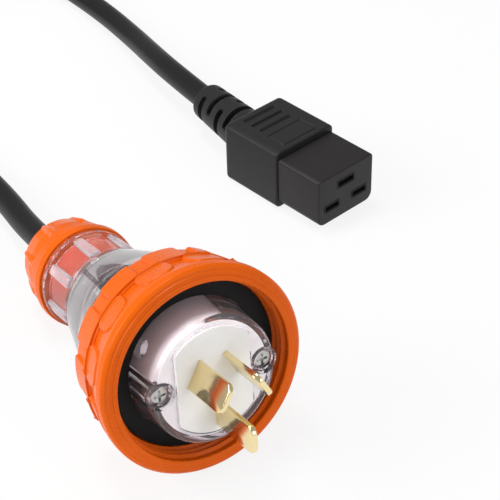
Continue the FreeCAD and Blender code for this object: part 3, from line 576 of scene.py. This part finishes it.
def round_tree():
    """Copies of a piece turned round the X axis."""
    tree = Growth("copies round an axis", Count="Int", Phase="Float")
    line = tree.wire("GeometryNodeMeshLine", None,
                     {"Count": tree.input("Count"), "Offset": (0.0, 0.0, 0.0)})
    turn = tree.wire("GeometryNodeInputIndex") * TURN / tree.input("Count") + tree.input("Phase")
    copies = tree.wire("GeometryNodeInstanceOnPoints", None, {
        "Points": line, "Instance": tree.input("Geometry"), "Rotation": tree.vector(turn)})
    return tree.end(copies)


TREES = {}


def grown(piece, maker, finish, **values):
    """Run a piece through a tree with these input values, and keep the plain mesh."""
    if maker not in TREES:
        TREES[maker] = maker()
    tree = TREES[maker]
    change = piece.modifiers.new(tree.name, "NODES")
    change.node_group = tree
    for item in tree.interface.items_tree:
        if item.in_out == "INPUT" and item.name in values:
            change[item.identifier] = values[item.name]
        if item.in_out == "INPUT" and item.name == "Finish":
            change[item.identifier] = finish_of(finish)
    piece.data.update()
    return applied(piece)


# ---- connector
def edge_round(run, edge):
    """Stations along X, each with how far its loop draws in, that round a block's front edge."""
    return [(run - edge * (1 - math.sin(a)), edge * (1 - math.cos(a)))
            for a in np.linspace(0, math.pi / 2, 6)]


def boot_block():
    """Boot: a rounded block with sunk grip bars and a sunk frame on its top."""
    half, height, run = mm("boot_width") / 2, mm("boot_height"), mm("boot_length")
    corner, step, edge = 2.2, 0.25, 0.7
    grips, grip_first, grip_pitch, grip_long, grip_deep, grip_side = 3, 3.9, 4.4, 1.8, 0.8, 6.6
    frame_back, frame_front, frame_side, frame_deep, frame_half = 10.9, 2.6, 6.4, 0.35, 0.25
    flat = 2 * half - 2 * corner
    top = np.arange(-half + corner, half - corner + 1e-6, flat / round(flat / step))
    arc = np.linspace(0, math.pi / 2, 8)[1:]
    loop, normal = [(y, height) for y in top], [(0, 1)] * len(top)
    for cy, cz, start in ((half - corner, height - corner, 90), (half - corner, corner, 0),
                          (corner - half, corner, -90), (corner - half, height - corner, -180)):
        for a in math.radians(start) - arc:
            loop.append((cy + corner * math.cos(a), cz + corner * math.sin(a)))
            normal.append((math.cos(a), math.sin(a)))
        if start > -180:
            beyond = math.radians(start - 90)
            loop.append((loop[-1][0], loop[-1][1]))
            normal.append((math.cos(beyond), math.sin(beyond)))
    loop, normal = np.array(loop), np.array(normal)
    stations = [(corner * (1 - math.cos(a)), corner * (1 - math.sin(a)))
                for a in np.linspace(0, math.pi / 2, 9)]
    stations += [(x, 0.0) for x in np.arange(corner + step, run - edge, step)]
    stations += edge_round(run, edge)
    grid = np.array([[(x, *(point - way * inset)) for point, way in zip(loop, normal)]
                     for x, inset in stations])

    def field(x, y, low, high, side, round_):
        across = np.abs(y) - side + round_
        along = np.abs(x - (low + high) / 2) - (high - low) / 2 + round_
        return (np.hypot(np.maximum(across, 0), np.maximum(along, 0))
                + np.minimum(np.maximum(across, along), 0) - round_)

    def fall(distance, wall):
        t = np.clip(0.5 - distance / wall, 0, 1)
        return t * t * (3 - 2 * t)

    x, y = grid[:, :len(top), 0], grid[:, :len(top), 1]
    for i in range(grips):
        low = grip_first + grip_pitch * i
        bar = field(x, y, low, low + grip_long, half - grip_side, 0.9)
        grid[:, :len(top), 2] -= grip_deep * fall(bar, 0.4)
    panel = field(x, y, run - frame_back, run - frame_front, half - frame_side, 0.6)
    grid[:, :len(top), 2] -= frame_deep * fall(np.abs(panel) - frame_half, 0.3)
    grid[:, :, 0] += STEP_X - run
    return skinned("boot_block", grid)


def relief_cone():
    """Tapered strain relief, with slots on alternate sides that on the real relief let it bend."""
    root_radius, tip_radius, slot_floor = 8.9, 7.4, 6.0
    rows, first, pitch = 4, 7.4, 6.1
    run, bore = mm("relief_length") - 2.4, mm("cord_diameter") / 2 + 0.02
    outline = softened([(-2.0, bore, 0), (-2.0, root_radius + 0.1, 0), (run, tip_radius, 1.6),
                        (run, bore, 0.3)], 5)
    cone = lathe("relief_cone", spaced(outline, 0.2, -3.0, run + 1, bore + 0.1), 256)
    for row in range(rows):
        middle = first + pitch * row
        thick = root_radius - middle * (root_radius - tip_radius) / run
        cone = grown(cone, sector_tree, "boot", Count=2,
                     Phase=math.radians(170 if row % 2 else 80), Middle=middle, Reach=1.2,
                     Half_Width=1.13 * thick, Corner=1.0, Rise=slot_floor - thick, Slope=0.0,
                     Wall=0.3, Least_Radius=5.2)
    root, aim = relief_way()
    turn = aim.to_track_quat("X", "Z").to_matrix().to_4x4()
    return moved(cone, Matrix.Translation(root) @ turn)


# Each slot's Y, its height above the nose's middle, and its width and height.
SLOTS = ((7.0, -3.5, 7.2, 2.4), (-7.0, -3.5, 7.2, 2.4), (0, 4.5, 8.2, 2.6))
SLOT_DEPTH = 17.0


def nose_block():
    """Hard nose: a rounded block, its three slots, and the thin frame raised round each."""
    half, high, run = mm("nose_width") / 2, mm("nose_height"), mm("nose_length")
    low, edge = NOSE_LOW, 0.55
    outline = softened([(-half, low, 3.2), (half, low, 3.2), (half, low + high, 1.3),
                        (-half, low + high, 1.3)], 8)
    middle = np.array([0, low + high / 2])
    rows = []
    foot = [(-9.0, 3.0), (-0.01, 3.0), (0.0, 0.35), (0.35, 0.0)]   # sunk in the boot
    for x, inset in foot + edge_round(run, edge):
        shrink = 1 - inset / np.array([half, high / 2])
        rows.append([(STEP_X + x, *(middle + (point - middle) * shrink)) for point in outline])
    block = cleaned(skinned("nose_block", np.array(rows)))
    slots, frames = [], []
    centre, front = low + high / 2, STEP_X + run
    for y, above, wide, tall in SLOTS:
        z = centre + above

        def opening(grow):
            a, b, round_ = wide / 2 + grow, tall / 2 + grow, 0.25 + grow
            return softened([(y - a, z - b, round_), (y + a, z - b, round_),
                             (y + a, z + b, round_), (y - a, z + b, round_)], 3)

        slots.append(extruded("slot", opening(0.0), front - SLOT_DEPTH, front + 1))
        outer, inner = opening(0.5), opening(-0.2)
        rim = np.array([[(front - 0.5, *p) for p in outer], [(front + 0.12, *p) for p in outer],
                        [(front + 0.25, *(p + (q - p) * 0.15)) for p, q in zip(outer, inner)],
                        [(front + 0.25, *(p + (q - p) * 0.45)) for p, q in zip(outer, inner)],
                        [(front - 0.2, *p) for p in inner], [(front - 0.5, *p) for p in inner]])
        frames.append(cleaned(skinned("slot_frame", rim, closed=True)))
    shaped(block, slots)
    return joined("connector_nose_skin", [block] + frames)


# ---- plug
def ring_shell():
    """Coupling ring: stepped lip, coarse thread, tongues ahead of the ledge and pads behind it."""
    radius, run = mm("ring_radius"), mm("ring_length")
    threads, ridges, mouth, pitch = [], 3, 1.9, 2.3
    for i in range(ridges):
        root = -(mouth + pitch * (ridges - 1 - i))
        crest = root - pitch / 2
        threads += [(crest, 27.45, 0.3), (root - 0.35, 28.75, 0.2), (root + 0.1, 28.75, 0.2)]
    outline = softened([
        (0.0, 28.4, 0.5), (0.0, radius - 3.4, 0.15), (-0.4, radius - 3.3, 0.1),
        (-0.4, radius - 1.9, 0.2), (-0.75, radius - 1.75, 0.15), (-0.85, radius - 0.9, 0.6),
        (-1.7, radius, 1.0), (-4.2, radius, 0.6), (-14.5, 30.2, 0.25), (-14.6, 30.75, 0.3),
        (-25.6, 29.15, 1.8), (-run, 26.8, 1.2), (-run, 22.5, 0.4), (3.8 - run, 22.5, 0.3),
        (3.8 - run, 27.6, 0.8), (-9.0, 27.6, 0.3)] + threads, 6)
    ring = lathe("ring_shell", spaced(outline, 0.25, -27.0, -3.0, 28.9), 600)
    pads = count("pads")
    ring = grown(ring, sector_tree, "orange", Count=pads, Phase=0.0, Middle=-20.2, Reach=5.0,
                 Half_Width=5.4, Corner=0.9, Rise=mm("pad_rise"), Slope=0.0, Wall=0.4,
                 Least_Radius=28.95)
    return grown(ring, sector_tree, "orange", Count=pads, Phase=math.pi / pads, Middle=-11.0,
                 Reach=4.6, Half_Width=5.6, Corner=3.4, Rise=0.95, Slope=-0.12, Wall=0.4,
                 Least_Radius=28.95)


def gland_nut():
    """Gland nut: rounded lip, domed body with U-ended scallops, and a finely threaded spigot."""
    radius, mouth = mm("nut_radius"), mm("cord_diameter") / 2 + 0.15
    outline = softened([
        (COLLAR_END, radius - 0.1, 0.4), (-81.8, radius + 0.1, 0.7), (-83.0, radius - 0.7, 1.0),
        (-93.0, radius - 1.6, 6.0), (-100.4, radius - 3.4, 3.2), (NUT_END, 10.6, 1.8),
        (NUT_END, mouth, 0.8), (-99.8, mouth, 0), (-99.8, 9.0, 0), (SPIGOT_TIP, 9.0, 0.3),
        (SPIGOT_TIP, SPIGOT_RADIUS, 0.4), (COLLAR_END, SPIGOT_RADIUS, 0)], 6)
    body = lathe("nut_body", spaced(outline, 0.35, NUT_END - 0.2, COLLAR_END, 10.7), 480)
    body = grown(body, sector_tree, "orange", Count=count("scallops"), Phase=0.0, Middle=-98.0,
                 Reach=11.0, Half_Width=5.3, Corner=3.2, Rise=-0.85, Slope=-0.045, Wall=2.0,
                 Least_Radius=10.7)
    steps, low, high = 48, SPIGOT_RADIUS - 0.1, COLLAR_BORE - 0.1
    profile = [(-0.3, low), (-0.12, high), (0.12, high), (0.3, low)]
    rows = []
    for k in range(FINE_TURNS * steps + 1):
        a = TURN * k / steps
        shift = -78.2 + FINE_PITCH * k / steps
        rows.append([(shift + x, r * math.cos(a), r * math.sin(a)) for x, r in profile])
    thread = cleaned(skinned("nut_thread", np.array(rows)))
    return joined("gland_nut_skin", [body, thread])


def rounded_window(half_width, radius, corner):
    """A disc's outline with two flat sides and softened corners, as (y, z)."""
    rise = math.sqrt(radius ** 2 - half_width ** 2)
    start = math.atan2(rise, half_width)
    steps = 14
    arc = [(radius * math.cos(a), radius * math.sin(a))
           for a in np.linspace(start, math.pi - start, steps + 1)]
    corners = [(y, z, corner if i in (0, steps) else 0) for i, (y, z) in enumerate(arc)]
    corners += [(-y, -z, r) for y, z, r in corners]
    return softened(corners, 4)


def disc(radius, y=0.0, steps=48):
    """A circle's outline as (y, z), with its centre at that Y."""
    return np.array([(y + radius * math.cos(TURN * k / steps),
                      radius * math.sin(TURN * k / steps)) for k in range(steps)])


def clear_cap():
    """Clear front cap: barrel with a thick rounded rim, its window, pockets, flange and neck."""
    radius = mm("cap_radius")
    outline = softened([
        (FACE, 0, 0), (FACE, radius, 1.3), (-8.8, radius + 1.1, 0.5), (-9.4, radius + 1.4, 0.3),
        (-9.4, 27.0, 0.3), (-23.9, 27.0, 0.3), (-23.9, 22.4, 0.3), (-28.2, 22.4, 0.3),
        (-28.2, 20.4, 0.2), (-21.7, 20.4, 0.4), (-21.7, 24.8, 0.6), (-11.6, 24.8, 0.6),
        (-11.6, radius - 1.9, 0.8), (PLATE, radius - 1.9, 1.0), (PLATE, 0, 0)], 6)
    cap = lathe("cap_barrel", outline, 160)
    bosses = [extruded("boss", disc(4.3, side * SCREW_OUT), -24.2, 4.2) for side in SIDES]
    shaped(cap, bosses, "UNION")
    cutters = [extruded("window", rounded_window(12.5, 17.1, 2.6), 3.0, 7.0)]
    for side in SIDES:
        out = side * SCREW_OUT
        cutters.append(extruded("pocket", disc(3.8, out), 3.2, 7.0))
        cutters.append(extruded("seat", disc(3.15, out), 1.4, 4.0))
        cutters.append(extruded("bore", disc(1.65, out, 24), -26.0, 2.0))
    return shaped(cap, cutters)


def clear_shell():
    """Clear rear shell: flange, cone, collar grooved inside, pillars and the clamp's saddle."""
    groove = [spot for i in range(FINE_TURNS) for spot in (
        (-77.6 + FINE_PITCH * i, COLLAR_BORE, 0), (-77.0 + FINE_PITCH * i, 13.6, 0))]
    outline = softened([
        (-24.5, 18.3, 0.2), (-24.5, 20.1, 0.2), (-28.3, 20.1, 0.1), (-28.3, 25.8, 0.5),
        (-30.9, 25.8, 0.8), (-59.5, 17.4, 2.0), (-61.0, 16.3, 0.6), (-63.6, 15.7, 0.4),
        (-75.4, 15.7, 0.4), (-75.8, 17.2, 0.6), (COLLAR_END, 17.2, 0.7),
        (COLLAR_END, COLLAR_BORE, 0.3), *groove, (-56.6, COLLAR_BORE, 0.4), (-56.6, 10.2, 0.3),
        (-55.0, 10.2, 0.3), (-55.0, 15.3, 0.8), (-31.2, 23.6, 0.8), (-30.0, 18.3, 0.5)], 6)
    shell = lathe("shell_barrel", outline, 160)
    pillars = [extruded("pillar", disc(2.9, side * SCREW_OUT, 32), -40.5, -25.0)
               for side in SIDES]
    half, low = 9.5, -17.4
    saddle = extruded("saddle", softened([(-half, low, 0), (half, low, 0), (half, 0, 0.5),
                                          (-half, 0, 0.5)], 3), -51.75, -46.25)
    shaped(shell, pillars + [saddle], "UNION")
    bore = extruded("saddle_bore", disc(4.76), -54.0, -44.0)
    holes = [extruded("hole", disc(1.52, side * SCREW_OUT, 24), -42.0, -24.0) for side in SIDES]
    return shaped(shell, [bore] + holes)


def collar_ribs():
    """The frosted ribs that stand round the clear collar."""
    low, high = 15.5, 17.0
    rib = extruded("collar_ribs", softened([(low, -2.1, 0), (high, -1.7, 0.9), (high, 1.7, 0.9),
                                            (low, 2.1, 0)], 4), -75.7, -62.6)
    return grown(bevelled(rib, 0.4, 2), round_tree, "frosted", Count=count("ribs"),
                 Phase=math.radians(12))


def cross_screw(head, height, shaft, run, cross):
    """A round-edged screw along X with a cross recess, its head's face at 0."""
    end, arm_share = -height - run, 0.22
    outline = softened([(0.0, 0, 0), (0.0, head * 0.55, 0), (-0.12, head * 0.82, 0.3),
                        (-0.45, head, 0.25), (-height, head, 0.15), (-height, shaft, 0),
                        (end, shaft, 0.3), (end, 0, 0)], 4)
    screw = lathe("screw", outline, 48)
    for wide, tall in ((cross, cross * arm_share), (cross * arm_share, cross)):
        a, b = wide / 2, tall / 2
        arm = extruded("arm", np.array([(-a, -b), (a, -b), (a, b), (-a, b)]), -1.0, 0.6)
        shaped(screw, [arm])
    return screw


# Each pin's Y and Z, its blade's turn in degrees, and how far it stands out of the clear cap.
PINS = {"pin_active": (6.2, 3.96, 120, 18.3), "pin_neutral": (-6.2, 3.96, 60, 18.3),
        "pin_earth": (0.0, -10.31, 90, 21.1)}


def flat_pin(name):
    """A flat pin with a rounded, bevelled nose, and its terminal behind."""
    y, z, angle, reach = PINS[name]
    half, thick = mm("pin_width") / 2, mm("pin_thickness")
    tip, back = FACE + reach, PIN_FOOT
    outline = softened([(back, -half, 0), (tip, -half, 2.7), (tip, half, 2.7), (back, half, 0)], 8)
    blade = np.array([[(x, w, level) for x, w in outline] for level in (-thick / 2, thick / 2)])
    blade = bevelled(cleaned(skinned(name + "_blade", blade)), 0.32, 3)
    moved(blade, Matrix.Translation((0, y, z)) @ Matrix.Rotation(math.radians(angle), 4, "X"))
    tunnel_radius, wire_radius, end, stop = 3.0, 0.95, back - 9.0, back - 2.0
    tunnel = lathe(name + "_tunnel", softened([
        (back, 0, 0), (back, tunnel_radius, 0.3), (end, tunnel_radius, 0.4),
        (end, wire_radius, 0.2), (stop, wire_radius, 0), (stop, 0, 0)], 4), 40)
    moved(tunnel, Matrix.Translation((0, y, z)))
    return joined(name + "_skin", [blade, tunnel])


# ---- cord
FLOOR = 4.95          # the cord's middle where it lies on the floor
STRAIGHT = 22.0       # how far it runs straight at each end
COIL_CENTRE = Vector((-257.0, -30.0, 0))
COIL_OUT, COIL_IN = 62.0, 43.0      # radius of the outer and inner strands' middles
COIL_LOW, COIL_HIGH = 5.55, 15.05   # height of the lower and upper layers' middles
COIL_TURNS = 4.5


def coil():
    """The stored turns: two inwards in the lower layer, half a turn up, two outwards."""
    per_turn = count("coil_points")
    swell = 1 / math.cos(math.pi / per_turn)
    wide, points = COIL_OUT - COIL_IN, []
    for k in range(round(COIL_TURNS * per_turn) + 1):
        turned = 360.0 * k / per_turn
        if turned <= 720:
            radius, z = COIL_OUT - wide * turned / 720, COIL_LOW
        elif turned <= 900:
            up = (turned - 720) / 180
            radius = COIL_IN - 0.8 * math.sin(math.pi * up)
            z = COIL_LOW + (COIL_HIGH - COIL_LOW) * up
        else:
            radius, z = COIL_IN + wide * (turned - 900) / 720, COIL_HIGH
        a = math.radians(90 + turned)
        points.append(COIL_CENTRE + Vector((radius * swell * math.cos(a),
                                            radius * swell * math.sin(a), z)))
    return points


def route():
    """The cord's route in millimetres: strain relief, floor, stored turns, floor, gland nut."""
    root, aim = relief_way()
    leave = root + aim * mm("relief_length")
    rim, strand = 66.75, 57.25   # the outer strand's outside and inside
    tail = math.sqrt(rim ** 2 - strand ** 2) + 6.0
    way_in = COIL_CENTRE + Vector((tail, COIL_OUT, COIL_LOW))
    way_out = COIL_CENTRE + Vector((tail, -COIL_OUT, COIL_HIGH))
    level = Vector((STRAIGHT, 0, 0))
    place = plug_place()
    mouth = place @ Vector((NUT_END, 0, 0)) / MM
    back = (place.to_3x3() @ Vector((-1, 0, 0))).normalized()
    return [leave, leave + aim * STRAIGHT, Vector((-84, 14.5, 9.8)), Vector((-108, 22.5, 6.2)),
            Vector((-136, 28.6, FLOOR)), Vector((-166, 31.4, FLOOR)), way_in + level, way_in,
            *coil(), way_out, way_out + level, Vector((-165, -89, FLOOR + 6.5)),
            Vector((-138, -84, FLOOR + 1.2)), Vector((-110, -81.4, FLOOR)),
            Vector((-78, -83.2, FLOOR)), Vector((-48, -88, 6.4)), mouth + back * STRAIGHT, mouth]


def cord_curve():
    """The cord as one smooth curve with a round section, and its route."""
    points = route()
    data = bpy.data.curves.new("cord_line", "CURVE")
    data.dimensions = "3D"
    line = data.splines.new("NURBS")
    line.points.add(len(points) - 1)
    for spot, point in zip(line.points, points):
        spot.co = (*(point * MM), 1)
    line.order_u = 3
    line.use_endpoint_u = True
    line.resolution_u = 8
    data.bevel_depth = mm("cord_diameter") * MM / 2
    data.bevel_resolution = 7
    data.use_fill_caps = True
    return placed("lead_cord", data), points


# ---- operators
class Step(bpy.types.Operator):
    """What every builder step shares."""
    bl_options = {"REGISTER", "UNDO"}

    def execute(self, context):
        self.build()
        return {"FINISHED"}


class LEAD_OT_boot(Step):
    """Build the connector's boot and slotted strain relief"""
    bl_idname = "lead.boot"
    bl_label = "Boot and strain relief"

    def build(self):
        boot = joined("connector_boot", [cleaned(boot_block()), relief_cone()])
        done(boot, "boot", connector_place(), ["connector_overmould"])


class LEAD_OT_nose(Step):
    """Build the connector's hard nose, and finish the contacts and cores inside it"""
    bl_idname = "lead.nose"
    bl_label = "Nose and contacts"

    def build(self):
        done(nose_block(), "nose", connector_place(), ["connector_nose"])
        dressed("contact", "contact_live", "contact_neutral", "contact_earth")
        dressed("core_brown", "connector_core_live")
        dressed("core_blue", "connector_core_neutral")
        dressed("core_green", "connector_core_earth")
        dressed("cord", "connector_sheath")


class LEAD_OT_ring(Step):
    """Build the orange coupling ring and finish the gasket inside it"""
    bl_idname = "lead.ring"
    bl_label = "Coupling ring"

    def build(self):
        done(ring_shell(), "orange", plug_place(), ["coupling_ring"], "ring", 28)
        dressed("gasket", "plug_gasket")


class LEAD_OT_face(Step):
    """Build the clear front cap, the flat pins and the two front screws"""
    bl_idname = "lead.face"
    bl_label = "Front cap, pins and screws"

    def build(self):
        done(clear_cap(), "clear", plug_place(), ["plug_front_cap"])
        dressed("white", "pin_carrier")
        for name in PINS:
            done(flat_pin(name), "pin", plug_place(), [name])
        screws = grown(cross_screw(3.0, 1.8, 1.5, 44.0, 3.6), row_tree, "screw", Count=2,
                       First=(3.2, -SCREW_OUT, 0.0), Step=(0.0, 2 * SCREW_OUT, 0.0))
        screws.name = "front_screw_pair"
        done(screws, "screw", plug_place(), ["front_screws"])


class LEAD_OT_shell(Step):
    """Build the clear rear shell with its ribs, and what is seen through it"""
    bl_idname = "lead.shell"
    bl_label = "Rear shell and clamp"

    def build(self):
        done(clear_shell(), "clear", plug_place(), ["plug_rear_shell"])
        done(collar_ribs(), "frosted", plug_place())
        screws = moved(cross_screw(2.4, 1.6, 1.2, 9.4, 3.4), Matrix.Rotation(-math.pi / 2, 4, "Y"))
        screws = grown(screws, row_tree, "screw", Count=2, First=(-49.0, -7.2, 9.05),
                       Step=(0.0, 14.4, 0.0))
        screws.name = "clamp_screw_pair"
        done(screws, "screw", plug_place(), ["clamp_screws"])
        dressed("screw", "terminal_screws")
        dressed("cord", "plug_sheath", "cord_clamp")
        dressed("seal", "shell_seal", "gland_seal")
        dressed("grey", "gland_washer")
        dressed("core_brown", "plug_core_active")
        dressed("core_blue", "plug_core_neutral")
        dressed("core_green", "plug_core_earth")


class LEAD_OT_gland(Step):
    """Build the orange gland nut with its threaded spigot"""
    bl_idname = "lead.gland"
    bl_label = "Gland nut"

    def build(self):
        done(gland_nut(), "orange", plug_place(), ["gland_nut"], crease=30)


class LEAD_OT_cord(Step):
    """Lay the cord along its route, with its spare length wound and tied"""
    bl_idname = "lead.cord"
    bl_label = "Cord"

    def build(self):
        cord, points = cord_curve()
        cord.data.materials.append(finish_of("cord"))
        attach(cord, "lead")
        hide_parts("cord_to_connector", "cord_coil", "cord_to_plug")
        dressed("tie", "cord_tie")
        tuple(points[0] * MM)
        mm("cord_diameter") * MM


# Each lamp's name, its offset from the middle of the view and its side in metres, and its watts.
LAMPS = (("key", (-0.45, -0.85, 0.6), 0.6, 8.3), ("over", (-0.3, 0.0, 1.2), 0.35, 5.6),
         ("right", (0.9, 0.1, 0.4), 0.5, 2.2))
VIEW_MIDDLE = Vector((0.03, -0.06, 0.02))
VIEW_FROM = (0.34359, -0.31880, 0.32571)
VIEW_TURN = [math.radians(angle) for angle in (48.03, 37.88, -1.566)]   # heading, dip and roll


def seen_by(tree, *rays):
    """1 for rays of these kinds, and 0 for all others."""
    path = tree.add("ShaderNodeLightPath")
    seen = Wire(tree, path.outputs[rays[0]])
    for name in rays[1:]:
        seen = seen.bigger(Wire(tree, path.outputs[name]))
    return seen


class LEAD_OT_stage(Step):
    """Set the floor, the world, the lamps and the camera"""
    bl_idname = "lead.stage"
    bl_label = "Stage"

    def build(self):
        self.floor()
        self.world()
        self.lamps()
        self.camera()
        bpy.context.scene.view_settings.view_transform = "Standard"

    def floor(self):
        reach = 4.0
        floor = mesh_object("floor", [(-reach, -reach, 0), (reach, -reach, 0), (reach, reach, 0),
                                      (-reach, reach, 0)], [(0, 1, 2, 3)])
        pale = Finish("pale floor", **{"Base Color": (0.86, 0.86, 0.86, 1), "Roughness": 0.9,
                                       "Specular IOR Level": 0.1})
        seen = seen_by(pale, "Is Camera Ray", "Is Glossy Ray", "Is Transmission Ray")
        white = pale.add("ShaderNodeEmission", None, {"Color": (1, 1, 1, 1), "Strength": 1.0})
        pale.mixed(seen * 0.85, pale.shader, white, pale.out)
        floor.data.materials.append(pale.material)

    def world(self):
        """A plain light world, which looks white in itself and through the clear pieces."""
        world = bpy.data.worlds.new("studio")
        world.use_nodes = True
        bpy.context.scene.world = world
        sky = Tree(world.node_tree)
        sky.nodes.nodes.clear()
        seen, white, light = seen_by(sky, "Is Camera Ray", "Is Transmission Ray"), 1.0, 0.42
        shine = sky.add("ShaderNodeBackground", None, {
            "Color": (1, 1, 1, 1), "Strength": seen * (white - light) + light})
        out = sky.add("ShaderNodeOutputWorld")
        sky.nodes.links.new(shine.outputs[0], out.inputs[0])

    def lamps(self):
        for name, offset, side, power in LAMPS:
            data = bpy.data.lights.new(name, "AREA")
            data.shape, data.size, data.energy = "SQUARE", side, power
            lamp = placed(name, data)
            lamp.location = VIEW_MIDDLE + Vector(offset)
            lamp.rotation_euler = (-Vector(offset)).to_track_quat("-Z", "Y").to_euler()

    def camera(self):
        data = bpy.data.cameras.new("camera")
        data.sensor_width, data.lens = 36.0, 106.0
        data.clip_start, data.clip_end = 0.01, 50.0
        camera = placed("camera", data)
        camera.location = VIEW_FROM
        heading, dip, roll = VIEW_TURN
        camera.rotation_mode = "QUATERNION"
        turn = Matrix.Rotation(heading, 3, "Z") @ Matrix.Rotation(math.pi / 2 - dip, 3, "X")
        camera.rotation_quaternion = (turn @ Matrix.Rotation(roll, 3, "Z")).to_quaternion()
        bpy.context.scene.camera = camera


class LEAD_PT_panel(bpy.types.Panel):
    """Lists the sizes, the colours and the builder steps"""
    bl_idname = "LEAD_PT_panel"
    bl_label = "Power lead"
    bl_space_type = "VIEW_3D"
    bl_region_type = "UI"
    bl_category = "Power lead"

    def draw(self, context):
        for group in (context.scene.lead_sizes, context.scene.lead_colours):
            box = self.layout.box()
            for name in group.__annotations__:
                box.prop(group, name)
        for step in STEPS:
            self.layout.operator(step.bl_idname)


STEPS = (LEAD_OT_boot, LEAD_OT_nose, LEAD_OT_ring, LEAD_OT_face, LEAD_OT_shell, LEAD_OT_gland,
         LEAD_OT_cord, LEAD_OT_stage)
CLASSES = (LeadSizes, LeadColours, *STEPS, LEAD_PT_panel)


def register():
    for made in CLASSES:
        bpy.utils.register_class(made)
    bpy.types.Scene.lead_sizes = bpy.props.PointerProperty(type=LeadSizes)
    bpy.types.Scene.lead_colours = bpy.props.PointerProperty(type=LeadColours)


def unregister():
    del bpy.types.Scene.lead_colours
    del bpy.types.Scene.lead_sizes
    for made in reversed(CLASSES):
        bpy.utils.unregister_class(made)


def main():
    register()
    for step in STEPS:
        getattr(bpy.ops.lead, step.bl_idname.split(".")[1])()


if __name__ == "__main__":
    main()
